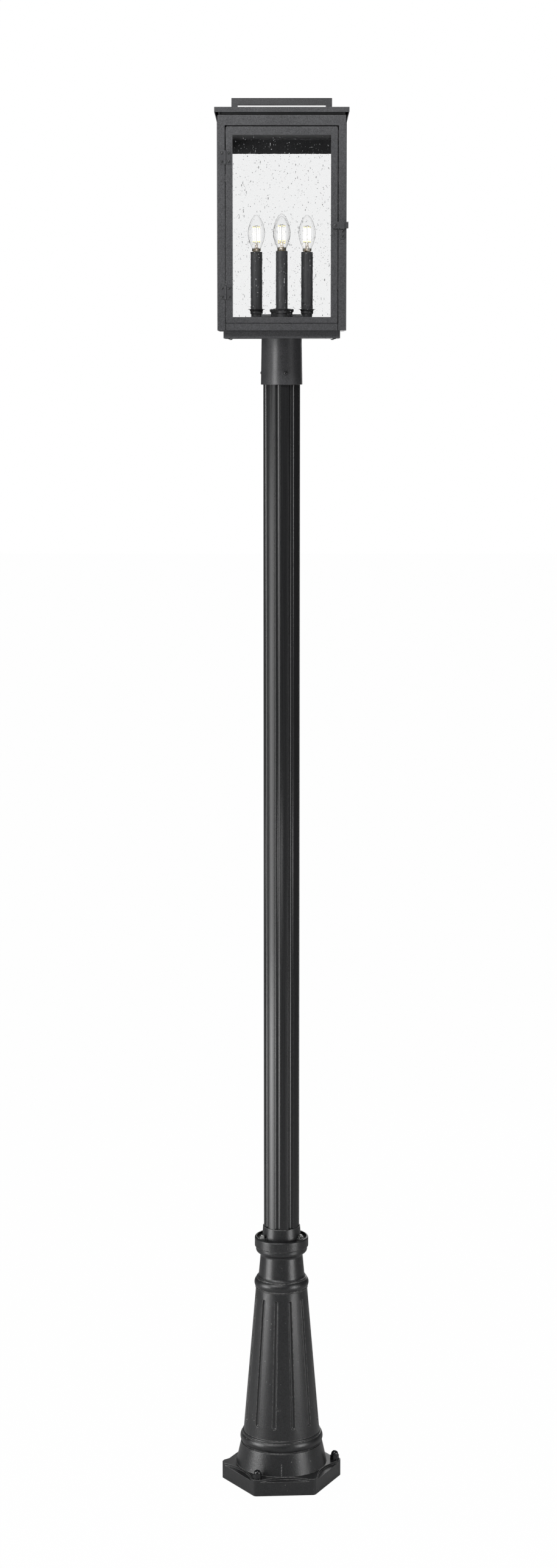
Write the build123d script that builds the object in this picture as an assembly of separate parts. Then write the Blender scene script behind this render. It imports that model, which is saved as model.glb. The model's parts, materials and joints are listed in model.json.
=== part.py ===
from build123d import *
import math
import os

# Four-light post light: a glazed lantern with a hinged door, on a fluted post and a cast base.
# The front, with the door, faces -Y, +X is to its right and +Z is up.
# The origin is on the post's axis at ground level. Sizes are in millimetres and degrees.
# Angles round the axis run from the front towards the right.

# Fits and clearances
THREAD_GAP = 0.05
PIN_GAP = 0.05
POST_GAP = 0.3
FITTER_GAP = 0.5
MOVING_GAP = 0.3

# How far cutters run past the faces they cut
OVERCUT = 1.0

# How far in from a corner the middle of its quarter round lies, as a share of the radius
ROUND_MIDDLE = 0.29

# Base casting, from the ground up
BASE_TURN = 3.5
FOOT_CORNER_R = 130.5
FOOT_EDGE_ROUND = 9.0
FOOT_SHELF_H = 31.0
FOOT_STEP_H = 5.0
FOOT_ARC_INSET = 12.0
FOOT_CAVITY_H = 26.0
FOOT_SHELF_MARGIN = 1.0
SKIRT_FOOT_R = 98.5
SKIRT_TOP_R = 88.4
SKIRT_H = 46.5
LOWER_RING_OUT = 7.4
LOWER_RING_H = 22.0
BEAD_H = 5.5
CONE_FOOT_R = 82.4
CONE_TOP_R = 55.5
CONE_H = 320.0
UPPER_RING_OUT = 3.2
UPPER_RING_H = 22.0
NECK_FOOT_R = 49.2
NECK_TOP_R = 45.6
NECK_COVE_H = 10.0
NECK_BEAD_H = 3.4
NECK_BEAD_OUT = 0.7
NECK_H = 40.0
CROWN_R = 55.2
CROWN_H = 20.0
BASE_WALL = 7.0
SLOT_COUNT = 12
SLOT_DEPTH = 3.2
SLOT_FOOT_TOOL_R = 5.1
SLOT_TOP_TOOL_R = 3.9
SLOT_FOOT_RISE = 29.0
SLOT_TOP_DROP = 20.0

# Anchor bolt circle at three of the foot's corners
ANCHOR_COUNT = 3
ANCHOR_CIRCLE_R = 116.5
ANCHOR_FIRST = -30.0
ANCHOR_HOLE_R = 5.5
ANCHOR_BOLT_R = 5.0
ANCHOR_WASHER_R = 10.0
ANCHOR_WASHER_T = 2.0
ANCHOR_NUT_AF = 17.0
ANCHOR_NUT_H = 17.4
ANCHOR_NUT_HEX_H = 8.0
ANCHOR_NUT_DEPTH = 13.0
ANCHOR_DOME_INSET = 0.8
ANCHOR_NUT_TURN = 12.0

# Collar cup and post socket
CUP_R = 57.8
CUP_WALL = 4.4
CUP_H = 22.4
CUP_SHOULDER = 3.2
CUP_LIP_EASE = 0.4
CUP_FOOT_ROUND = 1.5
CUP_FLOOR_T = 16.0
CUP_GROOVE_H = 1.0
CUP_GROOVE_IN = 0.6
SOCKET_H = 30.1
SOCKET_TOP_WALL = 1.6
SOCKET_FOOT_WALL = 3.6
SOCKET_LIP_EASE = 0.8
LUG_COUNT = 3
LUG_FIRST = 60.0
LUG_H = 7.0
LUG_R = 5.5
LUG_CIRCLE_R = 47.5
FLANGE_STUD_R = 3.0
FLANGE_STUD_GRIP = 9.0
FLANGE_NUT_AF = 10.0
FLANGE_NUT_H = 5.5
FLANGE_STUD_SHOW = 3.0
FLANGE_NUT_TURN = 5.0

# Fluted post
POST_R = 38.1
POST_WALL = 3.0
POST_LENGTH = 1943.0
POST_SEAT_DEPTH = 15.0
POST_LEDGE_T = 8.0
POST_LEDGE_W = 5.5
FLUTE_COUNT = 8
FLUTE_ANGLE = 18.5
FLUTE_DEPTH = 3.2
LAND_TURN = 9.5

# Fitter sleeve under the lantern
FITTER_TOP_R = 41.6
FITTER_FOOT_R = 43.0
FITTER_OVERLAP = 84.0
FITTER_SHELF_T = 10.0
WIRE_HOLE_R = 18.0
SET_SCREW_COUNT = 3
SET_SCREW_TURN = 10.5
SET_SCREW_RISE = 24.0
SET_SCREW_R = 2.5
SET_SCREW_HEAD_R = 4.0
SET_SCREW_HEAD_H = 3.2

# Lantern body
BODY_W = 260.0
SHEET = 2.0
TRAY_INSET = 12.0
TRAY_H = 15.5
TRAY_SCREW_INSET = 11.5
TRAY_SCREW_R = 2.0
TRAY_SCREW_HEAD_R = 3.8
TRAY_SCREW_HEAD_H = 1.8
PAN_H = 13.5
PAN_FLANGE_W = 26.0
POST_FACE_W = 15.8
ANGLE_T = 3.0
SIDE_OPENING_H = 340.0
LOWER_RAIL_H = 13.0
UPPER_RAIL_H = 44.0
TOP_FRAME_T = 4.0
CEILING_DROP = 8.0
FASCIA_H = 20.2
FASCIA_END_GAP = 1.2
FASCIA_DROP = 5.7
REVEAL_H = 5.5
REVEAL_DEPTH = 2.5
CAP_OVERHANG = 5.0
CAP_H = 10.0
FLARE_SHEET = 1.6
FLARE_TOP_INSET = 0.6
HANDLE_INSET = 27.4
HANDLE_H = 28.4
HANDLE_BAR = 12.7
HANDLE_GRIP_H = 14.0

# Fixed glazing
GLASS_T = 3.0
PANE_EDGE_GAP = 5.0
PANE_TOP_GAP = 2.0
CLIP_LEG = 8.0
CLIP_T = 1.2
CLIP_H = 14.0
CLIP_INSET = 80.0

# Door
DOOR_SIDE_GAP = 2.1
DOOR_FOOT_GAP = 1.2
DOOR_TOP_GAP = 2.3
DOOR_T = 10.0
STILE_W = 13.5
DOOR_LOWER_RAIL_W = 12.0
DOOR_UPPER_RAIL_W = 16.5
DOOR_CORNER_ROUND = 2.0
REBATE_W = 5.0
REBATE_LIP = 4.0
GLASS_BITE = 4.5
BEAD_W = 4.0

# Hinges, two alike
HINGE_H = 26.8
HINGE_INSET = 60.5
LEAF_T = 1.0
LEAF_W = 10.6
KNUCKLE_R = 1.5
KNUCKLE_END_GAP = 0.3
HINGE_PIN_R = 0.8
HINGE_PIN_HEAD_H = 0.8
HINGE_SCREW_PITCH = 17.0
HINGE_SCREW_REACH = 6.9
SMALL_SCREW_R = 1.4
SMALL_SCREW_HEAD_R = 2.7
SMALL_SCREW_HEAD_H = 1.5
SMALL_SCREW_L = 4.5

# Latch
LATCH_PIVOT_INSET = 5.0
LATCH_BACK = 5.0
LATCH_REACH = 26.4
LATCH_BAR_H = 13.0
LATCH_BAR_T = 2.6
LATCH_TAB_T = 2.2
LATCH_TAB_L = 13.0
LATCH_SCREW_R = 1.9
LATCH_SCREW_HEAD_R = 3.2
LATCH_SCREW_HEAD_H = 2.2
LATCH_SCREW_L = 6.0
KEEPER_W = 9.0
KEEPER_T = 1.5
KEEPER_PLATE_H = 20.5
KEEPER_INSET = 8.2
KEEPER_SCREW_DROP = 5.2
KEEPER_SCREW_PITCH = 9.7
LATCH_REST_GAP = 0.2
LATCH_SLIDE_GAP = 0.4

# Candle cluster
CANDLE_COUNT = 4
CANDLE_CIRCLE_R = 52.0
HUB_R = 22.3
HUB_LIP_R = 24.9
HUB_LIP_H = 5.5
HUB_WALL = 2.0
HUB_TOP_DROP = 1.0
CLUSTER_H = 31.0
ARM_R = 5.0
ARM_BORE_R = 3.4
ARM_RISE = 15.6
STEM_R = 10.9
STEM_H = 16.0
CUP_BAND_R = 12.8
CUP_BAND_H = 5.5
DISH_R = 17.2
DISH_H = 3.2
SLEEVE_R = 11.9
SLEEVE_WALL = 1.3
SLEEVE_L = 120.0
SLEEVE_SEAT = 4.0
NIPPLE_R = 5.0
NIPPLE_BORE_R = 3.5
HUB_NUT_AF = 15.0
HUB_NUT_H = 5.0
NIPPLE_SHOW = 2.0
SOCKET_STEM_R = 4.5
SOCKET_STEM_SEAT = 7.0
SOCKET_BODY_R = 9.6
SOCKET_BODY_EASE = 1.0
SOCKET_BODY_H = 36.0
SOCKET_BORE_R = 6.3
SOCKET_BORE_H = 24.0
SOCKET_TOP_DROP = 4.0

# Bulbs
BULB_SHELL_R = 5.9
BULB_SHELL_H = 22.0
BULB_COLLAR_R = 9.0
BULB_COLLAR_H = 8.0
BULB_COLLAR_SHOW = 7.0
BULB_R = 17.5
BULB_H = 68.0
BULB_WALL = 0.9
FILAMENT_COUNT = 4
FILAMENT_R = 0.9
FILAMENT_L = 35.0
FILAMENT_CIRCLE_R = 6.2
FILAMENT_RISE = 10.5
FILAMENT_WIRE_R = 0.4
BULB_STEM_R = 4.6
BULB_MAST_R = 1.2
BULB_MAST_OVER = 1.0

# Heights worked out from the sizes above
PAD_Z = FOOT_SHELF_H + FOOT_STEP_H
SKIRT_TOP_Z = PAD_Z + SKIRT_H
CONE_FOOT_Z = SKIRT_TOP_Z + LOWER_RING_H + BEAD_H
CONE_TOP_Z = CONE_FOOT_Z + CONE_H
NECK_FOOT_Z = CONE_TOP_Z + UPPER_RING_H + NECK_COVE_H
NECK_TOP_Z = NECK_FOOT_Z + NECK_H
BASE_TOP_Z = NECK_TOP_Z + CROWN_H
CUP_FLOOR_Z = BASE_TOP_Z + CUP_FLOOR_T
POST_FOOT_Z = BASE_TOP_Z - POST_SEAT_DEPTH
POST_TOP_Z = POST_FOOT_Z + POST_LENGTH
FITTER_FOOT_Z = POST_TOP_Z - FITTER_OVERLAP
TRAY_Z = POST_TOP_Z + FITTER_SHELF_T
PAN_Z = TRAY_Z + TRAY_H
FLOOR_Z = PAN_Z + PAN_H
OPENING_TOP_Z = FLOOR_Z + LOWER_RAIL_H + SIDE_OPENING_H
EAVES_Z = OPENING_TOP_Z + UPPER_RAIL_H
FASCIA_Z = EAVES_Z - FASCIA_DROP
CAP_Z = FASCIA_Z + FASCIA_H + REVEAL_H
CAP_TOP_Z = CAP_Z + CAP_H
CEILING_Z = FASCIA_Z - CEILING_DROP
CLUSTER_TOP_Z = FLOOR_Z + CLUSTER_H
SLEEVE_Z = CLUSTER_TOP_Z - SLEEVE_SEAT
SLEEVE_TOP_Z = SLEEVE_Z + SLEEVE_L
BULB_Z = SLEEVE_TOP_Z + BULB_COLLAR_SHOW

# Radii and half widths worked out from the sizes above
POST_BORE_R = POST_R + POST_GAP
FOOT_APOTHEM = FOOT_CORNER_R * math.cos(math.radians(30))
BODY_HALF = BODY_W / 2
TRAY_HALF = BODY_HALF - TRAY_INSET
TRAY_SCREW_AT = TRAY_HALF - TRAY_SCREW_INSET
FASCIA_HALF = BODY_HALF - FASCIA_END_GAP
CAP_HALF = BODY_HALF + CAP_OVERHANG
HANDLE_HALF = BODY_HALF - HANDLE_INSET
FRAME_IN = BODY_HALF - ANGLE_T
POST_EDGE = BODY_HALF - POST_FACE_W
PANE_IN = FRAME_IN - GLASS_T
FRONT = -BODY_HALF

# Door limits and places worked out from the sizes above
DOOR_HALF = POST_EDGE - DOOR_SIDE_GAP
DOOR_Z = FLOOR_Z + DOOR_FOOT_GAP
DOOR_TOP_Z = FASCIA_Z - DOOR_TOP_GAP
DOOR_BACK = FRONT + DOOR_T
LIGHT_HALF = DOOR_HALF - STILE_W
LIGHT_Z = DOOR_Z + DOOR_LOWER_RAIL_W
LIGHT_TOP_Z = DOOR_TOP_Z - DOOR_UPPER_RAIL_W
REBATE_FRONT = FRONT + REBATE_LIP
HINGE_X = -(POST_EDGE + DOOR_HALF) / 2
HINGE_Y = FRONT - MOVING_GAP - KNUCKLE_R
HINGE_ZS = (DOOR_Z + HINGE_INSET, DOOR_TOP_Z - HINGE_INSET)
LATCH_X = DOOR_HALF - LATCH_PIVOT_INSET
LATCH_Z = (DOOR_Z + DOOR_TOP_Z) / 2
LATCH_BAR_Y = FRONT - MOVING_GAP
KEEPER_X = BODY_HALF - KEEPER_INSET

SIDES = {"left": -1, "right": 1}


def block(x, y, z):
    """A box between the two ends of each range."""
    size = [abs(b - a) for a, b in (x, y, z)]
    middle = [(a + b) / 2 for a, b in (x, y, z)]
    return Pos(*middle) * Box(*size)


def rod(radius, z0, z1, place=(0, 0)):
    """An upright round bar between two heights."""
    return Pos(place[0], place[1], (z0 + z1) / 2) * Cylinder(radius, z1 - z0)


def polar(radius, angle):
    """The plan position at an angle from the front towards the right."""
    a = math.radians(angle)
    return radius * math.sin(a), -radius * math.cos(a)


def profile(start, *steps):
    """A closed face in the XZ plane. A step is a line's end, or an arc's middle and end."""
    edges = []
    here = start
    for step in steps + (start,):
        if isinstance(step[0], tuple):
            middle, end = step
            edges.append(ThreePointArc(*[(r, 0, z) for r, z in (here, middle, end)]))
        else:
            end = step
            edges.append(Line((here[0], 0, here[1]), (end[0], 0, end[1])))
        here = end
    return make_face(Curve() + edges)


def turned(start, *steps):
    """A profile turned about the z axis."""
    return revolve(profile(start, *steps), Axis.Z)


def hexagon(across_flats, z0, z1):
    """An upright hexagonal prism about the z axis."""
    outline = RegularPolygon(across_flats / 2 / math.cos(math.radians(30)), 6)
    return Pos(0, 0, z0) * extrude(outline, z1 - z0)


def pan_screw(head_r, head_h, shank_r, shank_l):
    """A pan-head screw along -Y, its head's seat at the origin, with a hexagonal drive."""
    rim = head_h * 0.35
    body = turned(
        (0, -shank_l),
        (shank_r, -shank_l),
        (shank_r, 0),
        (head_r, 0),
        (head_r, rim),
        ((head_r * 0.75, head_h * 0.86), (0, head_h)),
    )
    drive = hexagon(head_r * 0.62, head_h * 0.35, head_h + OVERCUT)
    return Rot(90, 0, 0) * (body - drive)


def lift(part, name):
    """Write one sub-part, with its name, as a STEP file."""
    part.label = name
    export_step(part, f"parts/{name}.step")


def cone_r(z):
    """The base cone's radius at a height."""
    return CONE_FOOT_R + (CONE_TOP_R - CONE_FOOT_R) * (z - CONE_FOOT_Z) / CONE_H


def base_solid():
    """The base's turned outline without its foot: skirt, lower ring, cone, upper ring, neck, crown."""
    ring_z = SKIRT_TOP_Z + 2
    ring_top = SKIRT_TOP_Z + LOWER_RING_H
    ring_in = CONE_FOOT_R + LOWER_RING_OUT * 0.5
    top_ring_z = CONE_TOP_Z + 3
    top_ring_top = CONE_TOP_Z + UPPER_RING_H
    bead_r = CONE_TOP_R - UPPER_RING_OUT * 0.7
    bead_top = top_ring_top + NECK_BEAD_H
    return turned(
        (0, 0),
        (SKIRT_FOOT_R, 0),
        (SKIRT_FOOT_R, PAD_Z),
        (SKIRT_TOP_R, SKIRT_TOP_Z),
        (ring_in, ring_z),
        ((CONE_FOOT_R + LOWER_RING_OUT, (ring_z + ring_top) / 2), (ring_in, ring_top)),
        (CONE_FOOT_R + LOWER_RING_OUT * 0.3, ring_top),
        ((CONE_FOOT_R + LOWER_RING_OUT * 0.33, ring_top + BEAD_H * 0.6), (CONE_FOOT_R, CONE_FOOT_Z)),
        (CONE_TOP_R, CONE_TOP_Z),
        ((CONE_TOP_R + UPPER_RING_OUT * 0.4, CONE_TOP_Z + 1.5), (CONE_TOP_R, top_ring_z)),
        (
            (CONE_TOP_R + UPPER_RING_OUT, (top_ring_z + top_ring_top) / 2),
            (CONE_TOP_R - UPPER_RING_OUT * 0.3, top_ring_top),
        ),
        (bead_r, top_ring_top),
        ((bead_r + NECK_BEAD_OUT, top_ring_top + NECK_BEAD_H / 2), (bead_r - NECK_BEAD_OUT, bead_top)),
        (bead_r - 2 * NECK_BEAD_OUT, bead_top),
        ((NECK_FOOT_R + NECK_BEAD_OUT, (bead_top + NECK_FOOT_Z) / 2), (NECK_FOOT_R, NECK_FOOT_Z)),
        (NECK_TOP_R, NECK_TOP_Z),
        (
            (NECK_TOP_R + (CROWN_R - NECK_TOP_R) * 0.12, NECK_TOP_Z + CROWN_H * 0.24),
            (NECK_TOP_R + (CROWN_R - NECK_TOP_R) * 0.42, NECK_TOP_Z + CROWN_H * 0.36),
        ),
        (
            (CROWN_R - (CROWN_R - NECK_TOP_R) * 0.13, NECK_TOP_Z + CROWN_H * 0.52),
            (CROWN_R, NECK_TOP_Z + CROWN_H * 0.78),
        ),
        (CROWN_R, BASE_TOP_Z),
        (0, BASE_TOP_Z),
    )


def base_hollow():
    """The base's inside: open below, with a ledge for the post and a bore above it."""
    ledge_r = POST_R - POST_LEDGE_W
    return turned(
        (0, -OVERCUT),
        (SKIRT_FOOT_R - BASE_WALL, -OVERCUT),
        (SKIRT_FOOT_R - BASE_WALL, FOOT_CAVITY_H),
        (SKIRT_TOP_R - BASE_WALL, SKIRT_TOP_Z),
        (CONE_FOOT_R - BASE_WALL, CONE_FOOT_Z),
        (CONE_TOP_R - BASE_WALL, CONE_TOP_Z),
        (NECK_FOOT_R - BASE_WALL, NECK_FOOT_Z),
        (ledge_r, POST_FOOT_Z - POST_LEDGE_T),
        (ledge_r, POST_FOOT_Z),
        (POST_BORE_R, POST_FOOT_Z),
        (POST_BORE_R, BASE_TOP_Z + OVERCUT),
        (0, BASE_TOP_Z + OVERCUT),
    )


def slot_tool():
    """One tapered round-ended flute cutter that lies along the cone at the front."""
    ends = []
    for z, tool_r in (
        (CONE_FOOT_Z + SLOT_FOOT_RISE, SLOT_FOOT_TOOL_R),
        (CONE_TOP_Z - SLOT_TOP_DROP, SLOT_TOP_TOOL_R),
    ):
        ends.append((Vector(0, -(cone_r(z) + tool_r - SLOT_DEPTH), z), tool_r))
    (foot, foot_r), (top, top_r) = ends
    along = top - foot
    tool = Plane(origin=foot, z_dir=along) * Cone(
        foot_r, top_r, along.length, align=(Align.CENTER, Align.CENTER, Align.MIN)
    )
    return tool + Pos(*foot) * Sphere(foot_r) + Pos(*top) * Sphere(top_r)


def foot_plate():
    """The hexagonal foot: full-height corners, and lens-shaped shelves along its sides."""
    plate = extrude(RegularPolygon(FOOT_CORNER_R, 6), PAD_Z)
    plate = fillet(plate.edges().filter_by(Axis.Z), FOOT_EDGE_ROUND)
    depth = FOOT_APOTHEM - (SKIRT_FOOT_R + FOOT_SHELF_MARGIN)
    half = FOOT_CORNER_R / 2 - FOOT_ARC_INSET
    arc_r = (half**2 + depth**2) / (2 * depth)
    shelf = rod(arc_r, FOOT_SHELF_H, PAD_Z + OVERCUT, (0, -(FOOT_APOTHEM - depth + arc_r)))
    for k in range(6):
        plate -= Rot(0, 0, 60 * k) * shelf
    return plate


def anchor_places():
    """The anchor bolts' plan positions."""
    step = 360 / ANCHOR_COUNT
    return [polar(ANCHOR_CIRCLE_R, BASE_TURN + ANCHOR_FIRST + step * k) for k in range(ANCHOR_COUNT)]


def lug_places():
    """The flange studs' plan positions."""
    step = 360 / LUG_COUNT
    return [polar(LUG_CIRCLE_R, LUG_FIRST + step * k) for k in range(LUG_COUNT)]


def base_casting():
    casting = base_solid()
    casting += foot_plate()
    casting -= base_hollow()
    tool = slot_tool()
    for k in range(SLOT_COUNT):
        casting -= Rot(0, 0, (k + 0.5) * 360 / SLOT_COUNT) * tool
    casting = Rot(0, 0, BASE_TURN) * casting
    for place in anchor_places():
        casting -= rod(ANCHOR_HOLE_R, -OVERCUT, PAD_Z + OVERCUT, place)
    for place in lug_places():
        casting -= rod(FLANGE_STUD_R + THREAD_GAP, BASE_TOP_Z - FLANGE_STUD_GRIP, BASE_TOP_Z + OVERCUT, place)
    return casting


def anchor_washers():
    ring = rod(ANCHOR_WASHER_R, PAD_Z, PAD_Z + ANCHOR_WASHER_T)
    ring -= rod(ANCHOR_HOLE_R, PAD_Z - OVERCUT, PAD_Z + ANCHOR_WASHER_T + OVERCUT)
    return Part() + [Pos(x, y) * ring for x, y in anchor_places()]


def anchor_cap_nuts():
    z = PAD_Z + ANCHOR_WASHER_T
    dome_r = ANCHOR_NUT_AF / 2 - ANCHOR_DOME_INSET
    dome_z = z + ANCHOR_NUT_H - dome_r
    dome = rod(dome_r, z, dome_z) + Pos(0, 0, dome_z) * Sphere(dome_r)
    nut = hexagon(ANCHOR_NUT_AF, z, z + ANCHOR_NUT_HEX_H) + dome
    nut -= rod(ANCHOR_BOLT_R, z - OVERCUT, z + ANCHOR_NUT_DEPTH)
    return Part() + [Pos(x, y) * Rot(0, 0, ANCHOR_NUT_TURN) * nut for x, y in anchor_places()]


def collar_cup():
    """The round cup on the base: a floor and an upright rim, with the post's bore through it."""
    z0, z1 = BASE_TOP_Z, BASE_TOP_Z + CUP_H
    rim_z = z0 + CUP_GROOVE_H
    inner = CUP_R - CUP_WALL
    foot_middle = CUP_FOOT_ROUND * ROUND_MIDDLE
    shoulder_middle = CUP_SHOULDER * ROUND_MIDDLE
    cup = turned(
        (POST_BORE_R, z0),
        (CROWN_R - CUP_GROOVE_IN, z0),
        (CROWN_R - CUP_GROOVE_IN, rim_z),
        (CUP_R - CUP_FOOT_ROUND, rim_z),
        ((CUP_R - foot_middle, rim_z + foot_middle), (CUP_R, rim_z + CUP_FOOT_ROUND)),
        (CUP_R, z1 - CUP_SHOULDER),
        ((CUP_R - shoulder_middle, z1 - shoulder_middle), (CUP_R - CUP_SHOULDER, z1)),
        (inner + CUP_LIP_EASE, z1),
        (inner, z1 - CUP_LIP_EASE),
        (inner, CUP_FLOOR_Z),
        (POST_BORE_R, CUP_FLOOR_Z),
    )
    for place in lug_places():
        cup -= rod(FLANGE_STUD_R + THREAD_GAP, z0 - OVERCUT, CUP_FLOOR_Z + OVERCUT, place)
    return cup


def post_socket():
    """The tapered sleeve that holds the post, with a lug for each flange stud."""
    z0, z1 = CUP_FLOOR_Z, CUP_FLOOR_Z + SOCKET_H
    socket = turned(
        (POST_BORE_R, z0),
        (POST_BORE_R + SOCKET_FOOT_WALL, z0),
        (POST_BORE_R + SOCKET_TOP_WALL, z1 - SOCKET_LIP_EASE),
        (POST_BORE_R + SOCKET_TOP_WALL - SOCKET_LIP_EASE, z1),
        (POST_BORE_R, z1),
    )
    for (x, y), k in zip(lug_places(), range(LUG_COUNT)):
        web = block((-LUG_R, LUG_R), (-LUG_CIRCLE_R, -POST_BORE_R - OVERCUT), (z0, z0 + LUG_H))
        lug = rod(LUG_R, z0, z0 + LUG_H, (0, -LUG_CIRCLE_R)) + web
        socket += Rot(0, 0, LUG_FIRST + 360 / LUG_COUNT * k) * lug
        socket -= rod(FLANGE_STUD_R + THREAD_GAP, z0 - OVERCUT, z0 + LUG_H + OVERCUT, (x, y))
    return socket - rod(POST_BORE_R, z0 - OVERCUT, z1 + OVERCUT)


def flange_studs():
    """Studs with their nuts, which clamp the socket and the cup to the base."""
    z = CUP_FLOOR_Z + LUG_H
    nut_top = z + FLANGE_NUT_H
    stud = rod(FLANGE_STUD_R, BASE_TOP_Z - FLANGE_STUD_GRIP, nut_top + FLANGE_STUD_SHOW)
    stud += hexagon(FLANGE_NUT_AF, z, nut_top)
    step = 360 / LUG_COUNT
    turns = [LUG_FIRST + step * k + FLANGE_NUT_TURN for k in range(LUG_COUNT)]
    return Part() + [Pos(x, y) * Rot(0, 0, a) * stud for (x, y), a in zip(lug_places(), turns)]


def fluted_outline(land_r, scoop_r, scoop_at):
    """A round outline with scooped channels, as a face."""
    half = math.degrees(math.acos((scoop_at**2 + land_r**2 - scoop_r**2) / (2 * scoop_at * land_r)))
    step = 360 / FLUTE_COUNT
    edges = []
    for k in range(FLUTE_COUNT):
        land = LAND_TURN + k * step
        scoop = land + step / 2
        start = land - step / 2 + half
        end = land + step / 2 - half
        edges.append(ThreePointArc(polar(land_r, start), polar(land_r, land), polar(land_r, end)))
        edges.append(
            ThreePointArc(
                polar(land_r, end),
                polar(scoop_at - scoop_r, scoop),
                polar(land_r, land + step / 2 + half),
            )
        )
    return make_face(Curve() + edges)


def fluted_post():
    """The extruded tube: eight lands and eight scooped channels, with an even wall."""
    half = math.radians(FLUTE_ANGLE / 2)
    chord = POST_R * math.sin(half)
    scoop_r = (chord**2 + FLUTE_DEPTH**2) / (2 * FLUTE_DEPTH)
    scoop_at = POST_R * math.cos(half) - FLUTE_DEPTH + scoop_r
    section = fluted_outline(POST_R, scoop_r, scoop_at)
    section -= fluted_outline(POST_R - POST_WALL, scoop_r + POST_WALL, scoop_at)
    return Pos(0, 0, POST_FOOT_Z) * extrude(section, POST_LENGTH)


def set_screw_angles():
    return [SET_SCREW_TURN + 360 / SET_SCREW_COUNT * k for k in range(SET_SCREW_COUNT)]


def fitter_wall_r():
    """The fitter sleeve's outer radius at its set screws."""
    share = SET_SCREW_RISE / (TRAY_Z - FITTER_FOOT_Z)
    return FITTER_FOOT_R + (FITTER_TOP_R - FITTER_FOOT_R) * share


def fitter_sleeve():
    """The sleeve that slips over the post, with an inner shelf that the post stops at."""
    bore = POST_R + FITTER_GAP
    sleeve = turned(
        (bore, FITTER_FOOT_Z),
        (FITTER_FOOT_R - 0.5, FITTER_FOOT_Z),
        (FITTER_FOOT_R, FITTER_FOOT_Z + 0.5),
        (FITTER_TOP_R, TRAY_Z),
        (WIRE_HOLE_R, TRAY_Z),
        (WIRE_HOLE_R, POST_TOP_Z),
        (bore, POST_TOP_Z),
    )
    hole = rod(SET_SCREW_R + THREAD_GAP, 0, FITTER_FOOT_R + 5)
    for angle in set_screw_angles():
        sleeve -= Pos(0, 0, FITTER_FOOT_Z + SET_SCREW_RISE) * Rot(0, 0, angle) * Rot(90, 0, 0) * hole
    return sleeve


def fitter_set_screws():
    seat = fitter_wall_r() + 0.1
    screw = pan_screw(SET_SCREW_HEAD_R, SET_SCREW_HEAD_H, SET_SCREW_R, seat - POST_R - 0.1)
    z = FITTER_FOOT_Z + SET_SCREW_RISE
    return Part() + [Rot(0, 0, a) * Pos(0, -seat, z) * screw for a in set_screw_angles()]


def tray_screw_places():
    ends = (-TRAY_SCREW_AT, TRAY_SCREW_AT)
    return [(x, y) for x in ends for y in ends]


def bottom_tray():
    """The shallow open tray that carries the fitter and closes the floor pan from below."""
    tray = block((-TRAY_HALF, TRAY_HALF), (-TRAY_HALF, TRAY_HALF), (TRAY_Z, PAN_Z))
    tray = fillet(tray.edges().filter_by(Axis.Z), 1.2)
    inner = TRAY_HALF - SHEET
    tray -= block((-inner, inner), (-inner, inner), (TRAY_Z + SHEET, PAN_Z + OVERCUT))
    tray -= rod(WIRE_HOLE_R, TRAY_Z - OVERCUT, TRAY_Z + SHEET + OVERCUT)
    for place in tray_screw_places():
        tray -= rod(TRAY_SCREW_R + THREAD_GAP, TRAY_Z - OVERCUT, TRAY_Z + SHEET + OVERCUT, place)
    return tray


def tray_screws():
    length = TRAY_H + SHEET
    screw = Rot(90, 0, 0) * pan_screw(TRAY_SCREW_HEAD_R, TRAY_SCREW_HEAD_H, TRAY_SCREW_R, length)
    return Part() + [Pos(x, y, TRAY_Z) * screw for x, y in tray_screw_places()]


def pan_outline(inset, z0, z1):
    """The floor pan's plan: flush with the posts' faces between them, and inside them at the corners."""
    corner = FRAME_IN - inset
    face = BODY_HALF - inset
    side = DOOR_HALF - inset
    plan = block((-corner, corner), (-corner, corner), (z0, z1))
    plan += block((-side, side), (-face, face), (z0, z1))
    return plan + block((-face, face), (-side, side), (z0, z1))


def floor_pan():
    """The lantern's floor: a box of sheet with a flange turned in round its open underside."""
    pan = pan_outline(0, PAN_Z, FLOOR_Z)
    pan -= pan_outline(SHEET, PAN_Z + SHEET, FLOOR_Z - SHEET)
    opening = FRAME_IN - PAN_FLANGE_W
    pan -= block((-opening, opening), (-opening, opening), (PAN_Z - OVERCUT, PAN_Z + SHEET + OVERCUT))
    pan -= rod(NIPPLE_R + THREAD_GAP, FLOOR_Z - SHEET - OVERCUT, FLOOR_Z + OVERCUT)
    for place in tray_screw_places():
        pan -= rod(TRAY_SCREW_R + THREAD_GAP, PAN_Z - OVERCUT, PAN_Z + SHEET + OVERCUT, place)
    return pan


def corner_post(side, end):
    """One angle-section corner post. The front ones are cut back under the fascia."""
    across = sorted((side * POST_EDGE, side * BODY_HALF))
    deep = sorted((end * POST_EDGE, end * BODY_HALF))
    face_x = sorted((side * FRAME_IN, side * BODY_HALF))
    face_y = sorted((end * FRAME_IN, end * BODY_HALF))
    post = block(across, face_y, (PAN_Z, EAVES_Z)) + block(face_x, deep, (PAN_Z, EAVES_Z))
    outer = post.edges().filter_by(Axis.Z).sort_by_distance((side * BODY_HALF, end * BODY_HALF, PAN_Z))[0]
    post = fillet(outer, 1.0)
    if end < 0:
        post -= block(across, face_y, (FASCIA_Z, EAVES_Z + OVERCUT))
        hinge_xs = [HINGE_X - HINGE_SCREW_REACH] if side < 0 else []
        places = [(x, z) for x in hinge_xs for z in hinge_screw_zs()]
        if side > 0:
            places = [(KEEPER_X, z) for z in keeper_screw_zs()]
        post = drilled(post, places)
    return post


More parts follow.
